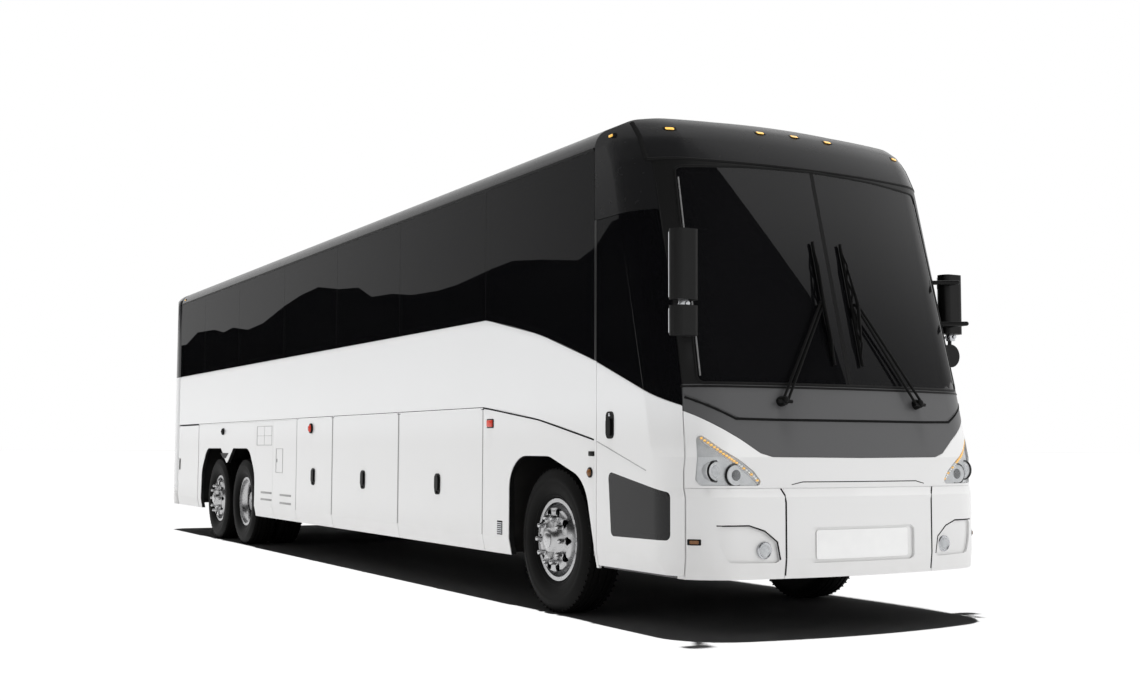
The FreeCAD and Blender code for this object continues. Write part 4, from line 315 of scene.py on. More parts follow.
def card(name, rows, finish):
    """Sheet over rows of points that only mirrors show."""
    mesh = bpy.data.meshes.new(name)
    wide = len(rows[0])
    faces = []
    for row in range(len(rows) - 1):
        for step in range(wide - 1):
            low = row * wide + step
            faces.append((low, low + 1, low + wide + 1, low + wide))
    mesh.from_pydata([point for row in rows for point in row], [], faces)
    made = place(name, mesh)
    for way in ("camera", "diffuse", "transmission", "shadow"):
        setattr(made, "visible_" + way, False)
    coat([made], finish)


hill_shade = mottled("hill_shade", 0.05, 0.003, 0.008, Roughness=1.0, Specular_IOR_Level=0.0)
crest = [off_side_glass(distance, height, RIDGE_REACH) for distance, height in SKYLINE]
foot = [off_side_glass(distance, belt_height(distance) - 0.02, RIDGE_REACH) for distance, height in SKYLINE]
card("hills", [crest, foot], hill_shade)

evening = matt("evening_sky", 0.02, 0.01, 0.02)
dusk = evening.y.step(18.0, 46.0) * 0.9 + evening.point.noise(0.04) * 0.1
evening.paint(Emission_Color=dusk.tint(0.15, 0.36))
sky_rows = [[off_side_glass(distance, height, SKY_REACH) for distance, crest in SKYLINE] for height in (2.3, 3.45)]
card("evening_sky", sky_rows, evening)

dark_rows = []
for (high, left0, right0), (low, left1, right1) in zip(GLARE, GLARE[1:]):
    for step in range(5):
        share = step / 4
        z, left, right = (a + (b - a) * share for a, b in ((high, low), (left0, left1), (right0, right1)))
        places = [-HALF_WIDTH + inset for inset in (0.0001, 0.001, 0.003, 0.007, 0.012, 0.018)]
        places += [left + (right - left) * index / 8 for index in range(9)]
        dark_rows.append(off_front(places, z, GLARE_REACH))
card("dark_screen", dark_rows, hill_shade)

haze_sky = matt("haze_sky", 0.02, 0.01, 0.02)
haze_sky.paint(Emission_Color=(haze_sky.z + haze_sky.y * 0.31 + 8.0).step(14.5, 22.5).tint(0.30, 1.05))
haze_places = [index * 0.1 for index in range(-11, 12)]
card("haze_sky", [off_front(haze_places, z, HAZE_REACH) for z in (3.12, 2.9, 2.6, 2.3, 2.0, 1.8, 1.62)], haze_sky)


# Painted shell: aluminium and composite panels under white gloss, polished, with a trace of road dust along the skirt.
DUST_TOP = 0.75
SILL = 0.505
SILL_TUCK = 0.2
WHITE = (0.82, 0.825, 0.83)
GREYED = (0.62, 0.61, 0.60)
GLASS_FRONT = 1.29
FRONT_MATCH = math.cos(math.radians(14))
ROOF_MATCH = math.cos(math.radians(34))


def white_gloss(name, black=None):
    """White gloss with painted shade greying the panels below the crease, dustier towards the skirt, painted black
    where a mask says so.
    """
    made = Finish(name, Coat_Roughness=0.03, IOR=1.45)
    dust = made.point.noise(9.0, 5.0) * (1 - made.z.step(0.38, DUST_TOP))
    # painted shade: the white greys below the crease, with the skirt's dust and a random tone on top
    shade_and_dust = (1 - made.z.step(1.20, 1.55)) * 0.40 + dust * 0.3 + made.point.noise(1.3) * 0.10
    colour = shade_and_dust.tint(WHITE, GREYED)
    if black:
        colour = black(made).tint(colour, made.point.noise(40.0).tint(0.005, 0.009))
    made.paint(Base_Color=colour, Roughness=dust * 0.35 + 0.28, Coat_Weight=0.75 - dust * 0.5)
    made.relief(made.point.noise(420.0, 1.0), 0.00004)
    return made


def above_belt(made):
    """Where the wall is black: over the belt line, and just under it on the faces behind the glass."""
    distance = made.y + HALF_LENGTH
    line = distance * 0.3556 + 1.344
    for slope, start in ((0.2906, 1.4258), (0.1946, 1.6284), (0.0, BELT)):
        line = line.maths("MINIMUM", line, distance * slope + start)
    over = made.z - line
    inside = (over.maths("ABSOLUTE", made.x) < HALF_WIDTH - 0.0065) * (over > -0.05) * (distance > GLASS_FRONT)
    return over.maths("MAXIMUM", over > 0.004, inside)


def behind_skin(made):
    """Where a panel is black: on the returns of its arches and recesses, behind the outer skin."""
    skin = HALF_WIDTH - 0.006 - (SILL - made.z) * (made.z < SILL) * SILL_TUCK
    return made.z.maths("ABSOLUTE", made.x) < skin


def keep_round(name, finish, angle=28.0, front=False):
    """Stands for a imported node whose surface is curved, smoothly shaded, by the front's own bow where it lies there."""
    mesh = nodes[name].data.copy()
    work = bmesh.new()
    work.from_mesh(mesh)
    bmesh.ops.remove_doubles(work, verts=work.verts, dist=2e-5)
    bmesh.ops.dissolve_degenerate(work, edges=work.edges, dist=1e-6)
    for face in work.faces:
        face.smooth = True
    work.to_mesh(mesh)
    work.free()
    mesh.set_sharp_from_angle(angle=math.radians(angle))
    if front:
        facing = [normal.vector.copy() for normal in mesh.corner_normals]
        for face in mesh.polygons:
            middle = face.center
            curved = middle.z > ROOF_FRONT
            if face.normal.dot(front_normal(middle.x, middle.z)) < (ROOF_MATCH if curved else FRONT_MATCH):
                continue
            for corner in face.loop_indices:
                spot = mesh.vertices[mesh.loops[corner].vertex_index].co
                facing[corner] = front_normal(spot.x, spot.z if curved else middle.z)
        mesh.normals_split_custom_set(facing)
    piece = place(name + "_round", mesh)
    coat([piece], finish)
    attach(piece, body_of[name])
    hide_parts(name)


white_paint = white_gloss("white_gloss")
wall_paint = white_gloss("white_wall", above_belt)
panel_paint = white_gloss("white_panel", behind_skin)
coat([name for name in nodes if name.startswith("luggage_door_")], white_paint)
coat(["engine_door", "radiator_door", "service_door"], white_paint)
coat(["lower_panels"], panel_paint)
coat(["side_walls"], wall_paint)
keep_round("front_panel", white_paint, front=True)
keep_round("front_bumper", white_paint, front=True)
keep_round("rear_bumper", white_paint)
keep_round("entrance_door", wall_paint, front=True)

# The rear cap is white below the window line and dark above it, where it carries the roof's colour over.
two_tone = Finish("rear_two_tone", Coat_Weight=0.6, Coat_Roughness=0.03, IOR=1.45)
upper = two_tone.z.step(BELT - 0.002, BELT + 0.002)
pale = (two_tone.point.noise(1.3) * 0.1).tint(WHITE, GREYED)
two_tone.paint(
    Base_Color=upper.tint(pale, two_tone.point.noise(2.0).tint((0.006, 0.006, 0.007), (0.010, 0.010, 0.011))),
    Roughness=two_tone.point.noise(6.0) * 0.08 + 0.26,
)
keep_round("rear_cap", two_tone)


# Roof, roof front and cowl: dark grey metallic over the same shell, the pillars beside the windscreen plain black.
COWL = 1.605
dark_paint = Finish("dark_gloss", Coat_Weight=0.1, Coat_Roughness=0.08, IOR=1.4, Specular_IOR_Level=0.25)
fleck = dark_paint.point.noise(1.7) * 0.5 + dark_paint.point.noise(900.0, 1.0) * 0.5
dark_paint.paint(
    Base_Color=fleck.tint((0.007, 0.007, 0.0075), (0.013, 0.013, 0.0135)),
    Roughness=dark_paint.point.noise(12.0) * 0.08 + 0.22,
)
dark_paint.relief(dark_paint.point.noise(380.0, 1.0), 0.00004)
for name in ("roof", "hatch_front", "hatch_rear"):
    keep_round(name, dark_paint)
keep_round("front_cap", dark_paint, front=True)

mask_paint = Finish("cowl_grey", Coat_Weight=0.1, Coat_Roughness=0.1, IOR=1.4, Specular_IOR_Level=0.4)
grey = mask_paint.point.noise(700.0, 1.0).tint((0.068, 0.068, 0.070), (0.088, 0.088, 0.090))
mask_paint.paint(
    Base_Color=mask_paint.z.step(COWL - 0.004, COWL + 0.004).tint(grey, 0.004),
    Roughness=mask_paint.point.noise(9.0) * 0.08 + 0.36,
)
keep_round("screen_surround", mask_paint, front=True)


# Side glass: bonded panes, so dark that the saloon hardly shows.
side_glass = Finish("side_glass", IOR=1.5, Specular_IOR_Level=0.32)
streak = side_glass.point.noise(2.2, 4.0, (1, 0.4, 1.6))
side_glass.paint(
    Base_Color=streak.tint((0.002, 0.002, 0.0025), (0.004, 0.004, 0.0045)),
    Roughness=side_glass.point.noise(26.0) * 0.008 + 0.004,
    Alpha=0.97 - streak * 0.02,
)
keep_round("windows", side_glass)
keep_round("entrance_door_glass", side_glass, front=True)

# Windscreen: two bent laminated panes, tinted, with a thin rubber strip between them.
screen_glass = Finish("screen_glass", IOR=1.5, Specular_IOR_Level=0.36)
haze = screen_glass.point.noise(1.1, 3.0)
screen_glass.paint(
    Base_Color=haze.tint((0.003, 0.003, 0.0035), (0.006, 0.006, 0.0065)),
    Roughness=screen_glass.point.noise(18.0) * 0.01 + 0.006,
    Alpha=0.955 - haze * 0.02,
)
keep_round("windscreen", screen_glass, front=True)


# Frame, axles and engine: chassis black and bare cast iron, dusty from the road. Inside, the hard floor covering and
# the grained dash. The mirror heads are moulded black.
def worn(name, dark, light, rough, scale=14.0, metal=0.0):
    """A dull surface, blotched by wear and uneven to the touch."""
    made = mottled(name, scale, dark, light, (rough, 0.25), 6.0, Metallic=metal, Specular_IOR_Level=0.2)
    made.relief(made.point.noise(scale * 9, 3.0), 0.0006)
    return made


chassis_black = worn("chassis_black", 0.004, (0.016, 0.015, 0.014), 0.5)
cast_iron = worn("cast_iron", (0.03, 0.028, 0.026), (0.11, 0.10, 0.09), 0.55, 20.0, 0.4)
coat(["bay_floor", "bulkheads", "frame_rails", "wheel_housings", "entrance_arms"], chassis_black)
coat(["front_axle", "knuckle_left", "knuckle_right", "rear_axles"], cast_iron)
coat(["engine"], worn("engine_grey", (0.06, 0.065, 0.07), 0.12, 0.45, 10.0, 0.3))
floor_covering = worn("floor_covering", (0.10, 0.10, 0.105), (0.16, 0.16, 0.165), 0.6, 60.0)
coat(["passenger_floor", "entrance_steps"], floor_covering)
coat(["cockpit"], worn("dash_plastic", (0.02, 0.02, 0.021), (0.035, 0.035, 0.036), 0.5, 200.0))
coat(["mirrors"], worn("mirror_black", 0.003, 0.006, 0.3, 30.0))

# Rims: forged alloy, brushed by washing.
bright_alloy = mottled("bright_alloy", 30.0, (0.40, 0.40, 0.41), 0.55, (0.22, 0.12), 4.0, Metallic=1.0)
for name in [name for name in nodes if name.startswith("rim_")]:
    keep_round(name, bright_alloy, 30.0)


# Shapes for the fittings that follow. A maker adds one shape to a mesh in the making, and a piece is given its shapes
# as makers with what they take.
def skin(work, rings):
    """Faces between rings of points and over both ends. The last ring may be a single point."""
    for first, second in zip(rings, rings[1:]):
        for index in range(len(first)):
            following = (index + 1) % len(first)
            far = (second[following], second[index]) if len(second) > 1 else second
            work.faces.new((first[index], first[following], *far))
    work.faces.new(rings[0][::-1])
    if len(rings[-1]) > 1:
        work.faces.new(rings[-1])


def circle(centre, side, up, radius, steps):
    turns = [2 * math.pi * step / steps for step in range(steps)]
    return [centre + (side * math.cos(a) + up * math.sin(a)) * radius for a in turns]


def block(work, low, high, round_off=0.0, steps=2):
    """Box between two corners, its edges rounded."""
    spots = [Vector((x, y, z)) for x in (low[0], high[0]) for y in (low[1], high[1]) for z in (low[2], high[2])]
    made = [work.verts.new(spot) for spot in spots]
    faces = [work.faces.new([made[i] for i in ring]) for ring in
             ((0, 1, 3, 2), (4, 6, 7, 5), (0, 4, 5, 1), (2, 3, 7, 6), (0, 2, 6, 4), (1, 5, 7, 3))]
    if round_off:
        edges = list({edge for face in faces for edge in face.edges})
        bmesh.ops.bevel(work, geom=edges, offset=round_off, segments=steps, affect="EDGES", profile=0.5)


def lathe(work, profile, centre, axis, steps=32):
    """Outline in (radius, along), turned round an axis through a centre. A last radius of zero closes it to a point."""
    axis = Vector(axis).normalized()
    side = axis.orthogonal().normalized()
    rings = []
    for radius, along in profile:
        middle = Vector(centre) + axis * along
        spots = circle(middle, side, axis.cross(side), radius, steps) if radius else [middle]
        rings.append([work.verts.new(spot) for spot in spots])
    skin(work, rings)


def bar(work, points, radius, sides=10):
    """Round bar through points, with mitred bends and closed ends. Its radius may differ from point to point."""
    points = [Vector(point) for point in points]
    rings = []
    side = None
    for index, point in enumerate(points):
        before = (point - points[index - 1]).normalized() if index else None
        after = (points[index + 1] - point).normalized() if index + 1 < len(points) else None
        along = (before + after).normalized() if before and after else before or after
        side = along.orthogonal().normalized() if side is None else (side - along * side.dot(along)).normalized()
        reach = radius[index] if isinstance(radius, list) else radius
        if before and after:
            reach /= max(0.5, along.dot(after))
        rings.append([work.verts.new(spot) for spot in circle(point, side, along.cross(side), reach, sides)])
    skin(work, rings)


def shaped(name, shapes, angle=35.0):
    """An object made of shapes, smoothly shaded up to an angle."""
    work = bmesh.new()
    for maker, *given in shapes:
        maker(work, *given)
    bmesh.ops.remove_doubles(work, verts=work.verts, dist=1e-6)
    bmesh.ops.recalc_face_normals(work, faces=work.faces)
    for face in work.faces:
        face.smooth = True
    mesh = bpy.data.meshes.new(name)
    work.to_mesh(mesh)
    work.free()
    mesh.set_sharp_from_angle(angle=math.radians(angle))
    return place(name, mesh)


def piece(name, finish, *shapes, angle=35.0, body="body", slot=None):
    """A piece of the bus, made of shapes and hung on its body."""
    made = shaped(name, shapes, angle)
    coat([made], finish)
    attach(made, body)
    return made


def round_outline(points, radius, steps=5):
    """Outline with its corners rounded."""
    made = []
    for index, point in enumerate(points):
        corner = Vector(point)
        before = Vector(points[index - 1]) - corner
        after = Vector(points[(index + 1) % len(points)]) - corner
        reach = min(radius, before.length * 0.45, after.length * 0.45)
        start = corner + before.normalized() * reach
        end = corner + after.normalized() * reach
        for step in range(steps + 1):
            share = step / steps
            made.append(start * (1 - share) ** 2 + corner * (2 * share * (1 - share)) + end * share ** 2)
    return made


def oblong(x, z, half_wide, half_high, radius):
    """Outline of a rectangle about its middle, with its corners rounded."""
    turns = ((-1, -1), (1, -1), (1, 1), (-1, 1))
    return round_outline([(x + half_wide * right, z + half_high * up) for right, up in turns], radius)


def between(line, spacing):
    """Spots spread evenly along each stretch of a line, all but its last."""
    spots = []
    for (x0, z0), (x1, z1) in zip(line, line[1:]):
        pieces = max(1, round(math.hypot(x1 - x0, z1 - z0) / spacing))
        spots += [(x0 + (x1 - x0) * step / pieces, z0 + (z1 - z0) * step / pieces) for step in range(pieces)]
    return spots


def plate_on_front(work, outline, proud, thick, cell=0.05):
    """Plate that follows the front surface inside an outline in (across, height)."""
    flat = bmesh.new()
    flat.faces.new([flat.verts.new((x, 0, z)) for x, z in outline])
    xs = [v.co.x for v in flat.verts]
    zs = [v.co.z for v in flat.verts]
    cuts = [((x * cell, 0, 0), (1, 0, 0)) for x in range(math.ceil(min(xs) / cell), math.ceil(max(xs) / cell))]
    cuts += [((0, 0, z * cell), (0, 0, 1)) for z in range(math.ceil(min(zs) / cell), math.ceil(max(zs) / cell))]
    cuts += [((0, 0, z), (0, 0, 1)) for z, lean in FRONT_LEAN if min(zs) < z < max(zs)]
    for spot, way in cuts:
        bmesh.ops.bisect_plane(flat, geom=flat.verts[:] + flat.edges[:] + flat.faces[:], plane_co=spot, plane_no=way)
    bmesh.ops.triangulate(flat, faces=flat.faces)
    front = {v: work.verts.new(on_front(v.co.x, v.co.z, proud)) for v in flat.verts}
    back = {v: work.verts.new(on_front(v.co.x, v.co.z, proud - thick)) for v in flat.verts}
    for face in flat.faces:
        work.faces.new([front[v] for v in face.verts])
        work.faces.new([back[v] for v in reversed(face.verts)])
    for edge in flat.edges:
        if len(edge.link_faces) == 1:
            a, b = edge.verts
            work.faces.new((front[a], front[b], back[b], back[a]))
    flat.free()


# Small materials that the fittings share: brushed and black trim, clear, amber and red lenses, and the dark and the
# grey of strips that paint the shade into seams, grooves and creases.
silver_trim = mottled("silver_trim", 60.0, (0.42, 0.43, 0.45), (0.66, 0.67, 0.69), (0.16, 0.15), 3.0, (1, 1, 9),
                      Metallic=0.85)
black_trim = mottled("black_trim", 260.0, 0.003, 0.007, (0.36, 0.15), 2.0, relief=0.0002, IOR=1.45,
                     Specular_IOR_Level=0.15)
clear_cover = mottled("clear_cover", 5.0, (0.75, 0.78, 0.80), (0.85, 0.87, 0.88), IOR=1.49, Roughness=0.02)
clear_cover.paint(Alpha=clear_cover.point.noise(14.0) * 0.03 + 0.04)
lens_glass = mottled("lens_glass", 40.0, (0.62, 0.64, 0.66), (0.80, 0.82, 0.84), IOR=1.52, Roughness=0.03)
lens_glass.paint(Alpha=lens_glass.point.noise(60.0) * 0.1 + 0.30)
# painted reflection: the inner lamp's lens is tinted nearly black for the dark that its chrome mirrors
dark_reflection_glass = mottled("deep_lens", 40.0, (0.03, 0.032, 0.035), (0.08, 0.085, 0.09), IOR=1.52, Roughness=0.03)
dark_reflection_glass.paint(Alpha=dark_reflection_glass.point.noise(60.0) * 0.1 + 0.66)
amber = mottled("amber_lens", 120.0, (0.80, 0.36, 0.03), (0.95, 0.62, 0.14), IOR=1.49, Roughness=0.12,
                Emission_Strength=0.35)
amber.paint(Emission_Color=amber.point.noise(120.0).tint((0.9, 0.4, 0.03), (1.0, 0.7, 0.2)))
smoked_amber = mottled("smoked_amber", 120.0, (0.10, 0.035, 0.008), (0.26, 0.11, 0.03), IOR=1.49, Roughness=0.15)
red = mottled("red_lens", 90.0, (0.52, 0.02, 0.01), (0.80, 0.07, 0.03), relief=0.0008, IOR=1.49, Roughness=0.12)
white_led = mottled("pale_lens", 150.0, (0.78, 0.78, 0.74), (0.95, 0.95, 0.92), IOR=1.49, Roughness=0.1)
# painted shade: the dark and the grey strip colours stand for the shade in grooves, seams, creases and under ledges
shadow_gap = mottled("shadow_gap", 80.0, 0.004, 0.012, Roughness=0.9, Specular_IOR_Level=0.1)
seam_grey = mottled("seam_grey", 60.0, 0.32, 0.42, Roughness=0.7, Specular_IOR_Level=0.2)


# Headlamps: a silvered housing with two round lamps and a sloping row of small lights over them, under one clear cover.
# The row is amber outside and pale towards the middle.
LAMP_LINE = [(1.150, 1.306), (1.027, 1.195), (0.905, 1.116), (0.827, 1.058), (0.752, 0.965), (1.148, 0.965),
             (1.168, 1.000)]
LAMP_MIDDLE = (0.9967, 1.0864)
COVER_SHARE = 0.985
LAMP_PLACES = ((1.070, 1.055, 0.050), (0.945, 1.030, 0.056))
ROW_LINE = [(1.128, 1.262), (1.018, 1.164), (0.905, 1.086), (0.838, 1.036), (0.785, 0.985)]
ROW_SPACING = 0.021
AMBER_SHARE = 0.55
LIGHT_HALF = Vector((0.008, 0.006, 0.006))
BACK = (0, 1, 0)
lamp_housing = mottled("lamp_housing", 25.0, (0.40, 0.41, 0.42), (0.60, 0.61, 0.62), (0.25, 0.1), 2.0, Metallic=0.55)
coat(["front_lamps"], lamp_housing)

cover = [[middle + (value - middle) * COVER_SHARE for value, middle in zip(spot, LAMP_MIDDLE)] for spot in LAMP_LINE]
for side, sx in SIDES:
    outline = round_outline([(sx * x, z) for x, z in cover], 0.025)
    piece("lamp_cover_" + side, clear_cover, (plate_on_front, outline, 0.001, 0.003), angle=60.0, slot="lamp_clear")
    bowls, lenses, hoods = [], [], []
    for x, z, radius in LAMP_PLACES:
        spot = on_front(sx * x, z, -0.030) - Vector((0, 0.004, 0))
        bowl = [(radius + 0.010, 0.012), (radius + 0.010, -0.004), (radius + 0.004, -0.010), (radius, -0.008),
                (radius * 0.82, 0.002), (radius * 0.5, 0.009), (0, 0.012)]
        lens = [(radius * 0.93, 0.0), (radius * 0.90, -0.006), (radius * 0.72, -0.015), (radius * 0.4, -0.021),
                (0, -0.023)]
        hood = [(radius + 0.020, 0.0), (radius + 0.020, -0.014), (radius + 0.008, -0.017), (radius + 0.008, 0.0),
                (radius + 0.020, 0.0)]
        for made, profile in ((bowls, bowl), (lenses, lens), (hoods, hood)):
            made.append((lathe, profile, spot, BACK, 40))
    piece("lamp_bowls_" + side, silver_trim, *bowls, angle=40.0, slot="lamp_clear")
    piece("outer_lens_" + side, lens_glass, lenses[0], angle=60.0, slot="lamp_clear")
    # the inner lens carries the painted dark reflection
    piece("inner_lens_" + side, dark_reflection_glass, lenses[1], angle=60.0, slot="lamp_clear")
    piece("lamp_hoods_" + side, black_trim, *hoods, angle=40.0)

    lights = {amber: [], white_led: []}
    spots = between(ROW_LINE, ROW_SPACING)
    for index, (x, z) in enumerate(spots):
        middle = on_front(sx * x, z, -0.010)
        kind = amber if index < len(spots) * AMBER_SHARE or index % 3 == 0 else white_led
        lights[kind].append((block, middle - LIGHT_HALF, middle + LIGHT_HALF, 0.002, 1))
    piece("lamp_row_amber_" + side, amber, *lights[amber], angle=30.0)
    piece("lamp_row_pale_" + side, white_led, *lights[white_led], angle=30.0)
    edges = [[on_front(sx * x, z + shift, -0.012) for x, z in ROW_LINE] for shift in (-0.015, 0.015)]
    piece("lamp_row_frame_" + side, silver_trim, *[(bar, edge, 0.004, 8) for edge in edges], angle=50.0)


# Bumper fittings: fog lamps in their recesses, a blank plate in the middle one, amber markers at the corners and a dark
# strip as painted shade in the groove over the bumper where the nose flap shuts.
FOG_X, FOG_Z, FOG_RADIUS = 0.760, 0.560, 0.042
CORNER_X, CORNER_Z = 1.1795, 0.613
NOSE_GROOVE = [(-0.56, 0.972), (-0.48, 0.990), (0.48, 0.990), (0.56, 0.972),
               (0.56, 0.967), (0.48, 0.984), (-0.48, 0.984), (-0.56, 0.967)]
plate_finish = mottled("blank_plate", 12.0, 0.80, (0.86, 0.86, 0.855), (0.35, 0.1), IOR=1.45)
for side, sx in SIDES:
    spot = on_front(sx * FOG_X, FOG_Z, -0.018)
    bowl = [(FOG_RADIUS + 0.012, 0.012), (FOG_RADIUS + 0.012, -0.008), (FOG_RADIUS + 0.006, -0.014),
            (FOG_RADIUS, -0.012), (FOG_RADIUS * 0.8, 0.0), (0, 0.006)]
    lens = [(FOG_RADIUS * 0.93, -0.004), (FOG_RADIUS * 0.85, -0.010), (FOG_RADIUS * 0.5, -0.015), (0, -0.016)]
    piece("fog_bowl_" + side, silver_trim, (lathe, bowl, spot, BACK, 36), angle=40.0)
    piece("fog_lens_" + side, lens_glass, (lathe, lens, spot, BACK, 36), angle=60.0)
    for name, finish, half_wide, half_high, low, high in (
        ("corner_bezel_", black_trim, 0.0295, 0.019, -0.005, 0.002),
        ("corner_marker_", smoked_amber, 0.0195, 0.011, -0.004, 0.007),
    ):
        outline = oblong(sx * CORNER_X, CORNER_Z, sx * half_wide, half_high, 0.006)
        piece(name + side, finish, (plate_on_front, outline, high, high - low, 0.02), angle=40.0)

plate = oblong(0.0, 0.5875, 0.385, 0.0925, 0.02)
piece("blank_plate_front", plate_finish, (plate_on_front, plate, -0.010, 0.006), angle=50.0)
# painted shade: a dark strip in the groove where the nose flap shuts
piece("nose_groove", shadow_gap, (plate_on_front, NOSE_GROOVE, 0.0006, 0.003), angle=50.0)


# Rubber round the windscreen, between its panes and along the roof front's lower edge. Grey strips at both sides of the
# glass are a painted highlight; dark and grey strips are painted shade in the grooves beside the roof front, in the
# groove that steps down across the cowl, in the seams that part the bumper, at the fog recesses' edges and under the
# bumper's ledge.
SCREEN = [(-1.109, 1.613), (1.109, 1.613), (1.054, 3.073), (0.565, 3.105), (0.0, 3.117), (-0.565, 3.105),
          (-1.054, 3.073)]
MIDDLE_STRIP = [(-0.015, 1.62), (0.015, 1.62), (0.015, 3.112), (-0.015, 3.112)]
COWL_LINE = [(-1.180, 1.523), (-0.907, 1.385), (-0.60, 1.380), (0.60, 1.380), (0.907, 1.385), (1.180, 1.523)]
BUMPER_SEAM = [(0.640, 0.945), (0.620, 0.905), (0.613, 0.860), (0.613, 0.400)]
FOG_LIP = [(1.073, 0.716), (0.870, 0.716), (0.765, 0.682), (0.677, 0.612), (0.655, 0.500)]
EDGE_X = 1.19
# painted highlight colour for the windscreen's side edges
edge_grey = mottled("edge_grey", 60.0, 0.10, 0.20, Roughness=0.35)


def bead(name, lines, radius, finish, proud):
    """Round strips along lines on the front."""
    paths = [[on_front(x, z, proud) for x, z in between(line, 0.06) + [line[-1]]] for line in lines]
    piece(name, finish, *[(bar, path, radius, 8) for path in paths], angle=60.0)


def across_front(z):
    return [[(-EDGE_X, z), (EDGE_X, z)]]


screen_loop = round_outline(SCREEN, 0.045)
bead("screen_rubber", [screen_loop + screen_loop[:1]], 0.0105, black_trim, -0.003)
piece("screen_middle_strip", black_trim, (plate_on_front, MIDDLE_STRIP, 0.001, 0.006, 0.2), angle=50.0)
# painted highlight: grey strips stand for the bright edges that the curved glass shows at both sides
bead("screen_edges", [[(sx * 1.088, 1.66), (sx * 1.038, 3.00)] for sx in (-1, 1)], 0.0065, edge_grey, -0.003)
bead("roof_front_rubber", across_front(3.133), 0.0125, black_trim, -0.005)
# painted shade: dark strips sunk in the grooves beside the roof front
bead("roof_front_grooves", [[(sx * EDGE_X, 3.130), (sx * EDGE_X, 3.415)] for sx in (-1, 1)], 0.021, shadow_gap, -0.013)
bead("cowl_rubber", across_front(1.592), 0.0085, black_trim, -0.003)
# painted shade: a dark strip in the groove that steps down across the cowl
bead("cowl_line", [COWL_LINE], 0.0125, shadow_gap, -0.008)
for side, sx in SIDES:
    # painted shade: dark strips along the bumper's seams and the upper and inner edges of the fog recesses
    bead("bumper_seam_" + side, [[(sx * x, z) for x, z in BUMPER_SEAM]], 0.0055, shadow_gap, -0.0015)
    bead("fog_recess_line_" + side, [[(sx * x, z) for x, z in FOG_LIP]], 0.0050, shadow_gap, -0.002)
# painted shadow: a grey strip under the bumper's ledge
bead("bumper_ledge_line", across_front(0.951), 0.0035, seam_grey, -0.018)


# Marker lamps along the roof front and at the ends of the coves: amber bullets in black bezels.
ROOF_MARKERS = ((-1.0, 3.364), (-0.3, 3.400), (0.0, 3.408), (0.3, 3.400), (1.0, 3.364))
COVE_MARKERS = (1.08, 13.20)
COVE_MARKER_Z = 3.340


def about(middle, half):
    return middle - half, middle + half


def side_block(work, sx, proud, along, up, round_off=0.0, steps=2):
    """Box on a side of the bus, between two amounts proud of the wall, two distances back and two heights."""
    low, high = sorted(sx * (HALF_WIDTH + amount) for amount in proud)
    block(work, (low, along_bus(along[0]), up[0]), (high, along_bus(along[1]), up[1]), round_off, steps)


bezels = [(plate_on_front, oblong(x, z, 0.043, 0.012, 0.01), 0.002, 0.007, 0.03) for x, z in ROOF_MARKERS]
lenses = [(plate_on_front, oblong(x, z, 0.028, 0.009, 0.008), 0.008, 0.012, 0.03) for x, z in ROOF_MARKERS]
for side, sx in SIDES:
    for distance in COVE_MARKERS:
        bezels.append((side_block, sx, (-0.045, -0.006), about(distance, 0.040), about(COVE_MARKER_Z, 0.014), 0.004))
        lenses.append((side_block, sx, (-0.035, -0.001), about(distance, 0.026), about(COVE_MARKER_Z, 0.009), 0.005))
piece("roof_marker_bezels", black_trim, *bezels)
piece("roof_marker_lenses", amber, *lenses)


# Side fittings: black paddle latches in rounded bezels on the luggage doors, red lamps ahead of the first bay and over
# the third, an amber lamp and a dark reflector behind the front corner, a cap between the rear wheels, and a vent.
BAYS = (3.067, 4.870, 6.680, 7.870)
VENT = 2.755
SLATS = [0.535 + row * 0.0155 for row in range(6)]


def side_plate(work, outline, sx, low, high):
    """Plate over an outline in (distance, height), between two amounts proud of the wall."""
    skin(work, [[work.verts.new((sx * (HALF_WIDTH + proud), along_bus(distance), z)) for distance, z in outline]
                for proud in (low, high)])


def side_lathe(work, sx, distance, z, steps, profile, proud=0.0):
    """Turned fitting that stands out of a side of the bus."""
    lathe(work, profile, (sx * (HALF_WIDTH + proud), along_bus(distance), z), (sx, 0, 0), steps)


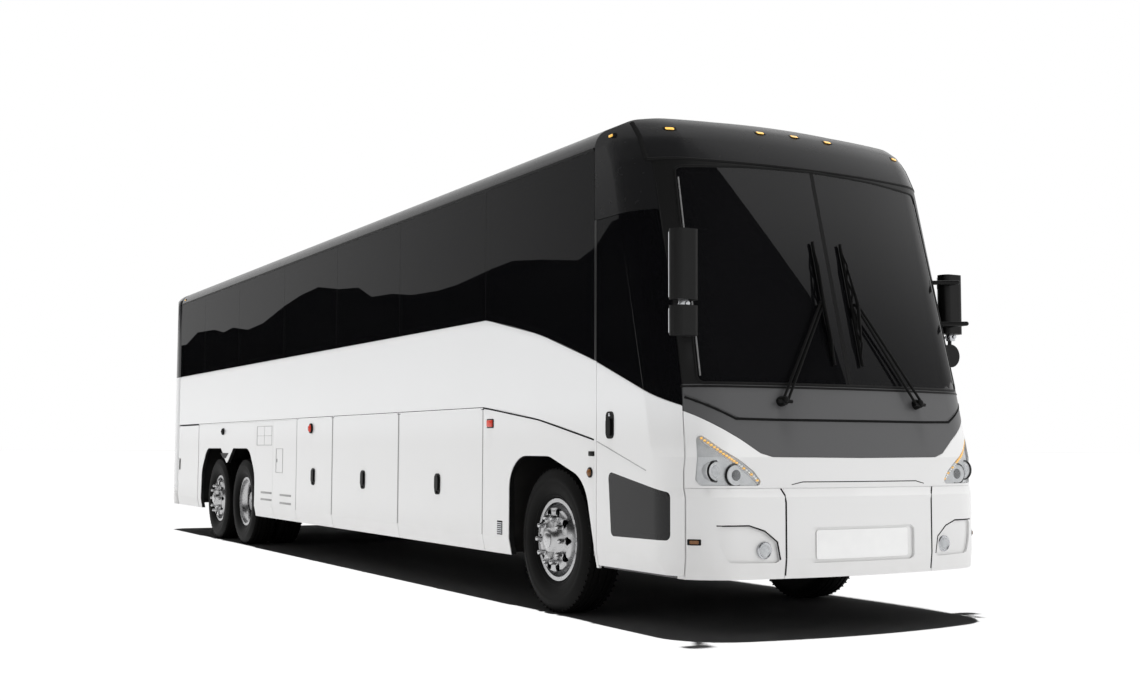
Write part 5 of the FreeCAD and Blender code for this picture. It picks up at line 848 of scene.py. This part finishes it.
for side, sx in SIDES:
    for index, (start, end) in enumerate(zip(BAYS, BAYS[1:])):
        middle = (start + end) / 2
        piece(f"latch_{side}_{index + 1}", black_trim,
              (side_block, sx, (-0.0135, -0.0005), about(middle, 0.029), about(0.890, 0.084), 0.002, 1),
              (side_plate, oblong(middle, 0.890, 0.055, 0.090, 0.045), sx, -0.0005, 0.0070),
              (side_plate, oblong(middle, 0.900, 0.036, 0.064, 0.028), sx, 0.0070, 0.0180),
              (side_lathe, sx, middle, 0.820, 20, [(0.011, 0.0), (0.011, 0.010), (0.008, 0.013), (0, 0.013)], 0.005),
              body=f"luggage_door_{side}_{index + 1}")
    piece("side_bezels_" + side, black_trim,
          (side_block, sx, (-0.005, 0.005), about(2.935, 0.060), about(1.392, 0.036), 0.008),
          (side_lathe, sx, 7.36, 1.405, 32, [(0.054, -0.004), (0.054, 0.016), (0.046, 0.020), (0.042, 0.012),
                                             (0, 0.012)]),
          (side_lathe, sx, 10.92, 1.405, 28, [(0.044, -0.004), (0.044, 0.014), (0.034, 0.024), (0.014, 0.026),
                                              (0.010, 0.034), (0, 0.034)]),
          (side_block, sx, (-0.005, 0.006), about(1.325, 0.040), about(1.16, 0.017), 0.005),
          (side_lathe, sx, 1.345, 1.030, 28, [(0.036, -0.004), (0.036, 0.006), (0.028, 0.009), (0.026, 0.004),
                                              (0, 0.004)]),
          (side_block, sx, (-0.005, 0.0015), about(VENT, 0.048), about(0.580, 0.055), 0.004))
    piece("side_lamps_" + side, red,
          (side_block, sx, (-0.003, 0.015), about(2.935, 0.050), about(1.392, 0.027), 0.009, 3),
          (side_lathe, sx, 7.36, 1.405, 32, [(0.041, 0.0), (0.041, 0.022), (0.030, 0.032), (0, 0.036)]), angle=40.0)
    bullet = [(0.026, 0.0), (0.026, 0.012), (0.018, 0.020), (0, 0.023)]
    piece("side_amber_" + side, smoked_amber, (side_lathe, sx, 1.345, 1.030, 28, bullet), angle=40.0)
    piece("side_vent_" + side, silver_trim,
          *[(side_block, sx, (0.001, 0.0045), about(VENT, 0.040), (low, low + 0.009), 0.002, 1) for low in SLATS])
    piece("rear_latch_" + side, black_trim,
          (side_block, sx, (-0.0002, 0.0035), about(13.26, 0.024), about(0.96, 0.080), 0.006),
          (side_block, sx, (0.002, 0.008), about(13.26, 0.014), (0.900, 1.015), 0.004),
          body="radiator_door" if side == "left" else "service_door")


# Along both sides: rounded corners in the wheel arches, and painted shade: a dark strip in the crease over the bays,
# grey strips in that crease ahead of them and on the bay doors' edges, and grey strips in the seams of the small hatch,
# the flap and the vent slots behind the third bay. Rubber lies in the grooves between the bay doors.
# The entrance door has a handle and a lock.
ARCHES = (
    [(1.285, 0.38), (1.285, 0.505), (1.420, 0.980), (1.950, 1.140), (2.420, 1.140), (2.600, 1.000), (2.600, 0.38)],
    [(9.440, 0.38), (9.480, 0.900), (9.730, 1.190), (10.4525, 1.190)],
    [(11.0325, 1.190), (11.755, 1.190), (12.005, 0.900), (12.045, 0.38)],
)
ARCH_RADIUS = 0.30
FLAPS = ((8.79, 1.227, 9.39, 1.450), (8.36, 0.913, 8.61, 1.185))
HATCH_SEAMS = ([(9.09, 1.228), (9.09, 1.449)], [(8.80, 1.338), (9.38, 1.338)])
VENT_SLOTS = (((8.76, 9.20), 0.67), ((8.76, 9.20), 0.59), ((8.03, 8.45), 0.66), ((8.03, 8.45), 0.57))
DIP_REFLECTOR = [(10.66, 1.128), (11.03, 1.128), (10.90, 1.062), (10.79, 1.062)]


def side_line(work, sx, spots, radius, proud, sides=6):
    """Round strip along (distance, height) spots on a side of the bus."""
    bar(work, [(sx * (HALF_WIDTH + proud), along_bus(distance), z) for distance, z in spots], radius, sides)


def crease(distances, lift):
    """Spots on the crease that runs along the side, at distances back and lifted a little."""
    return [(d, min(0.866 + 0.3008 * d, 1.245 + 0.1847 * (d - 1.26), 1.402 + 0.118 * (d - 2.11), 1.515) + lift)
            for d in distances]


def arch_corner(work, before, corner, after, sx):
    """Fills a corner of a wheel arch's outline round to a radius."""
    corner = Vector(corner)
    before = Vector(before) - corner
    after = Vector(after) - corner
    half = before.angle(after) / 2
    reach = min(ARCH_RADIUS / math.tan(half), before.length * 0.5, after.length * 0.5)
    radius = reach * math.tan(half)
    middle = corner + (before.normalized() + after.normalized()).normalized() * (radius / math.sin(half))
    start = corner + before.normalized() * reach - middle
    end = corner + after.normalized() * reach - middle
    shares = [step / 12 for step in range(13)]
    outline = [middle + (start * (1 - share) + end * share).normalized() * radius for share in shares]
    side_plate(work, [corner] + outline, sx, -0.033, 0.0003)


for side, sx in SIDES:
    corners = [(arch_corner, *spots, sx) for outline in ARCHES for spots in zip(outline, outline[1:], outline[2:])]
    piece("arch_corners_" + side, panel_paint, *corners, angle=50.0)
    # painted shade: a dark strip in the crease over the bays, and a grey one in the crease ahead of them
    spots = crease((1.30, 1.6, 1.85, 2.11, 2.4, 2.75, 3.067, 13.30), 0.004)
    piece("crease_line_" + side, shadow_gap, (side_line, sx, spots, 0.006, -0.0025, 8), angle=60.0)
    spots = crease((0.62, 0.9, 1.1, 1.25), 0.002)
    piece("front_crease_" + side, seam_grey, (side_line, sx, spots, 0.005, -0.0025, 8), angle=60.0,
          body="entrance_door" if side == "right" else "body")
    piece("bay_seals_" + side, black_trim,
          *[(side_block, sx, (-0.023, -0.0065), about(seam, 0.0018), (0.520, 1.500), 0.0005, 1) for seam in BAYS])
    # painted shade: grey strips on each bay door's edges widen the shade of the grooves between the doors
    for index, (start, end) in enumerate(zip(BAYS, BAYS[1:])):
        piece(f"bay_edges_{side}_{index + 1}", seam_grey,
              *[(side_block, sx, (-0.0010, 0.0008), about(distance, 0.0060), (0.512, 1.500), 0.0006, 1)
                for distance in (start + 0.0095, end - 0.0095)],
              body=f"luggage_door_{side}_{index + 1}")
    # painted shade: grey strips stand for the shade in the hatch and flap seams, and grey blocks for the vent slots
    piece("service_seams_" + side, seam_grey,
          *[(side_line, sx, [(d0, z0), (d1, z0), (d1, z1), (d0, z1), (d0, z0)], 0.0030, -0.0002)
            for d0, z0, d1, z1 in FLAPS],
          *[(side_line, sx, seam, 0.0022, -0.0002) for seam in HATCH_SEAMS],
          *[(side_block, sx, (-0.0010, 0.0012), along, about(z, 0.012), 0.001, 1) for along, z in VENT_SLOTS],
          (side_block, sx, (-0.0010, 0.0040), (8.565, 8.600), (1.030, 1.070), 0.002, 1), angle=50.0)
    piece("dip_reflector_" + side, black_trim, (side_plate, DIP_REFLECTOR, sx, -0.0010, 0.0060))

piece("door_handle", black_trim,
      (side_plate, oblong(1.076, 1.354, 0.052, 0.092, 0.040), -1, -0.0015, 0.0040),
      (side_plate, oblong(1.075, 1.340, 0.029, 0.060, 0.024), -1, 0.0040, 0.0200), body="entrance_door")
barrel = [(0.012, 0.0), (0.012, 0.004), (0.009, 0.006), (0, 0.006)]
piece("door_lock", silver_trim, (side_lathe, -1, 1.076, 1.424, 20, barrel, 0.004), body="entrance_door")


# Rubber in the grooves between the panes, and the drip rail over them.
PANE_SEAMS = (3.04, 4.88, 6.61, 8.41, 10.29, 12.0)
for side, sx in SIDES:
    piece("pane_rubber_" + side, black_trim,
          *[(side_block, sx, (-0.006, -0.0005), about(seam, 0.0019), (BELT + 0.003, 3.277)) for seam in PANE_SEAMS],
          (side_block, sx, (-0.0055, 0.0055), (1.296, 13.345), (3.2775, 3.299), 0.002, 1))


# Wheels: steel-belted tyres with ribbed treads on polished forged rims, ten bolts each under bright caps. A bright boss
# covers the hub of each single wheel.
AXLES = {"front": 1.985, "drive": 10.130, "tag": 11.355}
TYRE_RADIUS = 0.530
OUTER_TYRE = 1.095
TWIN = 0.343
BOLTS, BOLT_REACH = 10, 0.1675
NOTCHES, NOTCH_REACH = 64, 0.519
SHOULDER = 0.1165
SINGLE_FACE = OUTER_TYRE + 0.139
TWIN_FACE = OUTER_TYRE - TWIN / 2 + 0.022
BOSS_FACE = 1.286
TYRE_HALF = [(0.2860, 0.090), (0.3005, 0.094), (0.3160, 0.118), (0.3270, 0.126), (0.3320, 0.1245), (0.3480, 0.136),
             (0.3860, 0.147), (0.4180, 0.1495), (0.4330, 0.1480), (0.4370, 0.1495), (0.4600, 0.1455), (0.4950, 0.134),
             (0.5130, 0.124), (0.5215, 0.1185), (0.5245, 0.108), (0.5265, 0.093), (0.5270, 0.0840), (0.5150, 0.0815),
             (0.5150, 0.0745), (0.5275, 0.0720), (0.5290, 0.0400), (0.5165, 0.0375), (0.5165, 0.0295),
             (0.5293, 0.0270)]
CAP = [(0.0235, 0.0), (0.0235, 0.006), (0.0195, 0.009), (0.0185, 0.046), (0.0150, 0.055), (0.008, 0.059), (0, 0.060)]
BOSS = [(0.060, 0.0), (0.060, 0.006), (0.050, 0.012), (0.022, 0.016), (0, 0.016)]
tread = mottled("tread_rubber", 55.0, 0.002, (0.007, 0.0068, 0.0065), (0.45, 0.2), 6.0, Specular_IOR_Level=0.06)
tread.relief(tread.point.noise(420.0, 2.0), 0.0003)
cap_chrome = mottled("cap_chrome", 160.0, (0.46, 0.46, 0.47), 0.64, (0.22, 0.1), 2.0, Metallic=1.0)


def tyre(work, centre, middle):
    """Tyre turned from its outline, which runs from one bead over the tread and its four grooves to the other."""
    section = [(radius, centre + out) for radius, out in TYRE_HALF]
    section += [(radius, centre - out) for radius, out in reversed(TYRE_HALF)]
    lathe(work, section + section[:1], middle, (1, 0, 0), 120)


def bolt_circle(name, shape, count, radius, centre, finish, body):
    """Copies of one shape on a circle round an axis across the bus, made by a node tree with its sizes as inputs."""
    given = {"Count": ("Int", count), "Radius": ("Float", radius), "Turn": ("Float", math.pi / count),
             "Shape": ("Object", shape), "Finish": ("Material", finish.material), "Middle": ("Vector", centre)}
    tree = bpy.data.node_groups.new(name + "_circle", "GeometryNodeTree")
    for label, (kind, value) in given.items():
        tree.interface.new_socket(label, in_out="INPUT", socket_type="NodeSocket" + kind)
    tree.interface.new_socket("Geometry", in_out="OUTPUT", socket_type="NodeSocketGeometry")
    outputs = tree.nodes.new("NodeGroupInput").outputs
    number, reach, start, copied, coating, middle = (Wire(tree, outputs[label]) for label in given)
    index = Wire(tree, tree.nodes.new("GeometryNodeInputIndex").outputs[0])
    facing = index.node("CombineXYZ", {0: index * index.maths("DIVIDE", 2 * math.pi, number)})
    facing = index.node("FunctionNodeEulerToRotation", {0: facing})
    # the circle lies flat; it is stood up so that its axis runs across the bus
    ring = index.node("GeometryNodeMeshCircle", {"Vertices": number, "Radius": reach})
    ring = index.node("GeometryNodeTransform", {0: ring, "Rotation": (0, math.pi / 2, 0)})
    copied = index.node("GeometryNodeObjectInfo", {"Object": copied}, "Geometry")
    copies = index.node("GeometryNodeInstanceOnPoints", {"Points": ring, "Instance": copied, "Rotation": facing})
    turned = index.node("CombineXYZ", {0: start})
    copies = index.node("GeometryNodeTransform", {0: copies, "Translation": middle, "Rotation": turned})
    copies = index.node("GeometryNodeRealizeInstances", {0: copies})
    copies = index.node("GeometryNodeSetMaterial", {0: copies, "Material": coating})
    tree.links.new(copies.socket, tree.nodes.new("NodeGroupOutput").inputs[0])
    holder = place(name, bpy.data.meshes.new(name))
    modifier = holder.modifiers.new("ring", "NODES")
    modifier.node_group = tree
    for item in tree.interface.items_tree:
        if item.in_out == "INPUT":
            modifier[item.identifier] = given[item.name][1]
    bpy.context.view_layer.update()
    evaluated = holder.evaluated_get(bpy.context.evaluated_depsgraph_get())
    made = place(name + "_ring", bpy.data.meshes.new_from_object(evaluated))
    bpy.data.objects.remove(holder)
    bpy.data.node_groups.remove(tree)
    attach(made, body)


for side, sx in SIDES:
    # a bolt's cap is a bright sleeve with a domed end, and a notch is a shoulder slot of the tread
    cap = shaped("cap_" + side, [(lathe, CAP, (0, 0, 0), (sx, 0, 0), 18)])
    notch = shaped("notch_" + side, [(block, (-0.0125, -0.0030, -0.007), (0.0125, 0.0030, 0.0065))])
    for axle, distance in AXLES.items():
        wheel = f"{axle}_{side}"
        body = "wheel_" + wheel
        middle = Vector((0, along_bus(distance), TYRE_RADIUS))
        centres = (OUTER_TYRE, OUTER_TYRE - TWIN) if axle == "drive" else (OUTER_TYRE,)
        tyres = [(tyre, sx * centre, middle) for centre in centres]
        made = piece(f"tyre_{wheel}_tread", tread, *tyres, angle=32.0, body=body, slot="tyre")
        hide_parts("tyre_" + wheel)
        face = middle + Vector((sx * (TWIN_FACE if axle == "drive" else SINGLE_FACE), 0, 0))
        bolt_circle("caps_" + wheel, cap, BOLTS, BOLT_REACH, face, cap_chrome, body)
        for centre in centres:
            for edge in (1, -1):
                spot = middle + Vector((sx * centre + edge * SHOULDER, 0, 0))
                name = f"tread_{wheel}_{round(centre * 1000)}_{edge}"
                bolt_circle(name, notch, NOTCHES, NOTCH_REACH, spot, tread, body)
        if axle != "drive":
            spot = middle + Vector((sx * BOSS_FACE, 0, 0))
            piece("hub_boss_" + wheel, cap_chrome, (lathe, BOSS, spot, (sx, 0, 0), 36), angle=40.0, body=body)
    bpy.data.objects.remove(cap)
    bpy.data.objects.remove(notch)


# Wipers: twin parallel rods from each spindle to a long blade that parks upright beside the middle strip. A bridge
# frame holds the blade, with a rubber lip under it.
BLADE_X = 0.120
BLADE_LOW = 1.765
BLADE_HIGH = 2.585
CLIPS = (BLADE_LOW + 0.05, 1.99, 2.17, 2.35, BLADE_HIGH - 0.05)
SPINDLE = [(0.034, -0.004), (0.034, 0.020), (0.026, 0.034), (0.020, 0.062), (0.012, 0.068), (0, 0.068)]
wiper_black = mottled("wiper_black", 120.0, 0.002, 0.006, (0.36, 0.2), IOR=1.45, Specular_IOR_Level=0.12)
coat(["wipers"], wiper_black)


def front_bar(work, sx, spots, radius, sides=8):
    """Bar through (across, height, proud) spots off the front, mirrored to a side."""
    bar(work, [on_front(sx * x, z, proud) for x, z, proud in spots], radius, sides)


for side, sx in SIDES:
    bridges = [((BLADE_X, low, 0.026), (0.128, (low + high) / 2, 0.048), (BLADE_X, high, 0.026))
               for low, high in zip(CLIPS, CLIPS[1:])]
    yoke = ((0.123, BLADE_LOW + 0.14, 0.047), (0.146, 2.17, 0.060), (0.123, BLADE_HIGH - 0.14, 0.047))
    piece("wiper_fittings_" + side, wiper_black,
          (lathe, SPINDLE, on_front(sx * 0.574, 1.500), (0, -1, 0.25), 28),
          *[(front_bar, sx, bridge, 0.007) for bridge in bridges],
          (front_bar, sx, yoke, [0.006, 0.013, 0.006]),
          (front_bar, sx, ((BLADE_X, BLADE_LOW, 0.011), (BLADE_X, BLADE_HIGH, 0.011)), 0.006, 6), angle=40.0)


# Mirrors: moulded black heads on arms from the windscreen pillars, with a convex glass in each. Bright clamps hold the
# arms where they meet the heads.
HEAD_X = 1.350
HEADS = ((-HEAD_X, 0.150, 2.124, 2.536), (-HEAD_X, 0.150, 1.904, 2.061), (HEAD_X, 0.640, 2.064, 2.476))
CLAMPS = ((-HEAD_X, 0.095, 2.085), (HEAD_X, 0.585, 2.030))
mirror_glass = mottled("mirror_glass", 30.0, (0.72, 0.74, 0.76), (0.80, 0.82, 0.84), (0.02, 0.02), Metallic=1.0)
glasses = []
for x, distance, low, high in HEADS:
    y = along_bus(distance) - 0.013
    glasses.append((block, (x - 0.084, y, low + 0.002), (x + 0.084, y + 0.005, high - 0.002), 0.002, 1))
bulge = [(0.078, 0.0), (0.070, 0.004), (0.040, 0.009), (0, 0.011)]
piece("mirror_glasses", mirror_glass, *glasses,
      (lathe, bulge, (HEAD_X, along_bus(0.640), 1.890), BACK, 36), angle=30.0)
rings = []
for x, distance, z in CLAMPS:
    spot = (x, along_bus(distance), z)
    rings.append((lathe, [(0.031, -0.030), (0.034, -0.026), (0.034, 0.026), (0.031, 0.030)], spot, (0, 0, 1), 24))
    rings.append((lathe, [(0.012, -0.048), (0.015, -0.046), (0.015, 0.046), (0.012, 0.048)], spot, BACK, 16))
piece("mirror_clamps", silver_trim, *rings, angle=40.0)


# Seats: moulded cushions and backs in woven cloth, two to a row each side, each with a head pad and a black shell.
SEAT_ROWS = 13
SEAT_START = 2.050
SEAT_PITCH = 0.860
SALOON_FLOOR = 1.530
SEAT_HALF = 0.218
PAD_STEPS = 10
CUSHION = [(0.02, 0.34), (0.30, 0.32), (0.395, 0.36), (0.40, 0.43), (0.36, 0.465), (0.18, 0.455), (0.04, 0.465),
           (0.0, 0.42)]
BACK_REST = [(0.36, 0.47), (0.42, 0.44), (0.475, 0.50), (0.545, 0.84), (0.560, 0.91), (0.530, 0.93), (0.485, 0.88),
             (0.425, 0.66)]
HEAD_PAD = [(0.500, 0.90), (0.560, 0.89), (0.585, 0.98), (0.575, 1.06), (0.545, 1.085), (0.515, 1.03)]
DRIVER_X = 0.660
PEDESTAL = [(0.13, 0.0), (0.12, 0.02), (0.085, 0.06), (0.075, 0.30), (0.12, 0.36), (0.16, 0.38)]
cloth = Finish("seat_weave", Roughness=0.85, Specular_IOR_Level=0.2)
weave = cloth.point.noise(700.0, 0.0, (1, 0.25, 0.25)) * 0.5 + cloth.point.noise(700.0, 0.0, (0.25, 0.25, 1)) * 0.5
cloth.paint(Base_Color=(weave * 0.7 + cloth.point.noise(9.0) * 0.3).tint((0.018, 0.022, 0.045), (0.06, 0.07, 0.12)))
cloth.relief(weave, 0.0008)


def pad(work, spine, half_wide, centre_x):
    """Pad swept across the bus from a side outline, pulled in at its two ends so that it looks stuffed."""
    middle = Vector((0, sum(y for y, z in spine) / len(spine), sum(z for y, z in spine) / len(spine)))
    rings = []
    for step in range(PAD_STEPS + 1):
        share = step / PAD_STEPS * 2 - 1
        squeeze = 1 - 0.16 * abs(share) ** 6 - 0.05 * share ** 2
        shift = Vector((centre_x + share * half_wide, 0, 0))
        rings.append([work.verts.new(middle + (Vector((0, y, z)) - middle) * squeeze + shift) for y, z in spine])
    skin(work, rings)


def seat(work, y, floor_z, x, half_wide):
    """Cushion, back and head pad of one seat facing forward."""
    for outline, share in ((CUSHION, 1.0), (BACK_REST, 0.97), (HEAD_PAD, 0.72)):
        pad(work, [(y + d, floor_z + z) for d, z in outline], half_wide * share, x)


def cushioned(name, seats):
    """A padded piece, rounded with one level of subdivision."""
    made = piece(name, cloth, *seats, angle=60.0, slot="seat_fabric")
    round_off = made.modifiers.new("round", "SUBSURF")
    round_off.levels = 1
    round_off.render_levels = 1
    return made


def seat_frame(work, sx, y):
    """Legs, pan and arm rests of the two seats that one side has in a row."""
    def height(up):
        return SALOON_FLOOR + up

    for x in (0.36, 1.06):
        for back in (0.10, 0.30):
            bar(work, [(sx * x, y + back, height(up)) for up in (0.002, 0.33)], 0.020, 8)
    low, high = sorted((sx * 0.25, sx * 1.17))
    block(work, (low, y + 0.03, height(0.315)), (high, y + 0.38, height(0.345)), 0.006, 1)
    for x in (0.245, 0.710, 1.175):
        low, high = about(sx * x, 0.016)
        block(work, (low, y + 0.06, height(0.60)), (high, y + 0.40, height(0.64)), 0.008, 1)
        bar(work, [(sx * x, y + 0.12, height(0.34)), (sx * x, y + 0.36, height(0.61))], 0.010, 6)


rows = [along_bus(SEAT_START + row * SEAT_PITCH) for row in range(SEAT_ROWS)]
for side, sx in SIDES:
    saloon = [(seat, y, SALOON_FLOOR, sx * x, SEAT_HALF) for y in rows for x in (0.475, 0.945)]
    made = cushioned("saloon_seats_" + side, saloon)
    if side == "right":
        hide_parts("seats")
    piece("seat_frames_" + side, black_trim, *[(seat_frame, sx, y) for y in rows])
cushioned("driver_seat_pad", [(seat, along_bus(0.84), 1.165, DRIVER_X, 0.250)])
piece("driver_seat_base", black_trim, (lathe, PEDESTAL, (DRIVER_X, along_bus(1.06), 1.082), (0, 0, 1), 24))


# Saloon fittings: moulded luggage racks with a pale light strip under each, and the aisle's darker runner.
shelf_grey = mottled("shelf_grey", 35.0, (0.16, 0.16, 0.17), (0.22, 0.22, 0.23), (0.5, 0.2), IOR=1.45)
coat(["luggage_racks"], shelf_grey)
for side, sx in SIDES:
    low, high = sorted((sx * 0.70, sx * 0.74))
    strip = (block, (low, along_bus(1.80), 2.921), (high, along_bus(13.15), 2.9295), 0.003, 1)
    piece("rack_light_" + side, white_led, strip)
runner = (block, (-0.225, along_bus(1.40), SALOON_FLOOR), (0.225, along_bus(13.25), SALOON_FLOOR + 0.004), 0.001, 1)
piece("aisle_runner", worn("aisle_runner", (0.035, 0.035, 0.04), (0.06, 0.06, 0.065), 0.75, 150.0), runner)


# Rear: ribbed red lenses in dark rings, a blank plate in its light box, the engine door's latches, the trim round the
# rear window with a high stop lamp over it, and the end of the exhaust.
REAR = 13.828
REAR_KNEE, REAR_TOP, REAR_LEAN = 2.0, 3.22, 0.130
LAMP_HEIGHTS = (0.820, 0.960, 1.100, 1.240)
RING = [(0.066, -0.004), (0.066, 0.004), (0.058, 0.009), (0.0525, 0.009), (0.0525, -0.004)]
DOME = [(0.046, -0.001), (0.046, 0.002), (0.034, 0.006), (0.033, 0.004), (0.020, 0.008), (0.019, 0.006), (0, 0.010)]
STOP_Z = 3.10


def rear_height(z):
    """Place along the bus of the rear at a height, where its window area leans in."""
    return along_bus(REAR - max(0.0, (z - REAR_KNEE) / (REAR_TOP - REAR_KNEE)) * REAR_LEAN)


coat(["rear_lamps"], red)
for name, finish, distance, profile in (
    ("rear_lamp_rings", black_trim, REAR, RING),
    ("rear_lamp_domes", red, 13.840, DOME),
):
    spots = [(sx * 1.080, along_bus(distance), z) for sx in (1, -1) for z in LAMP_HEIGHTS]
    piece(name, finish, *[(lathe, profile, spot, BACK, 36) for spot in spots], angle=40.0)
y = along_bus(REAR)
piece("rear_plate_box", black_trim, (block, (-0.31, y - 0.002, 0.475), (0.31, y + 0.010, 0.600), 0.004))
piece("blank_plate_rear", plate_finish, (block, (-0.26, y + 0.009, 0.483), (0.26, y + 0.012, 0.592), 0.001, 1))
latches = []
for x in (-0.62, 0.62):
    latches.append((block, (x - 0.045, y - 0.002, 0.700), (x + 0.045, y + 0.008, 0.745), 0.006))
    barrel = [(0.016, 0.0), (0.016, 0.012), (0.010, 0.015), (0, 0.015)]
    latches.append((lathe, barrel, (x, y + 0.004, 0.722), BACK, 20))
piece("engine_door_latches", black_trim, *latches, body="engine_door")
pipe = [(0.058, -0.15), (0.060, 0.0), (0.054, 0.001), (0.052, -0.12)]

window = round_outline([(-0.93, 2.24), (0.93, 2.24), (0.86, 2.98), (-0.86, 2.98)], 0.09, 8)
loop = [(x, rear_height(z), z) for x, z in window + window[:1]]
stop_y = rear_height(STOP_Z)
piece("rear_window_trim", black_trim, (bar, loop, 0.007, 8),
      (block, (-0.20, stop_y - 0.004, STOP_Z - 0.025), (0.20, stop_y + 0.010, STOP_Z + 0.025), 0.006))
piece("high_stop_lamp", red,
      (block, (-0.18, stop_y + 0.006, STOP_Z - 0.014), (0.18, stop_y + 0.014, STOP_Z + 0.014), 0.004))
piece("exhaust_tip", silver_trim, (lathe, pipe, (0.72, y - 0.02, 0.405), BACK, 32), angle=40.0)


bpy.context.scene.view_settings.view_transform = "Standard"
bpy.context.view_layer.update()
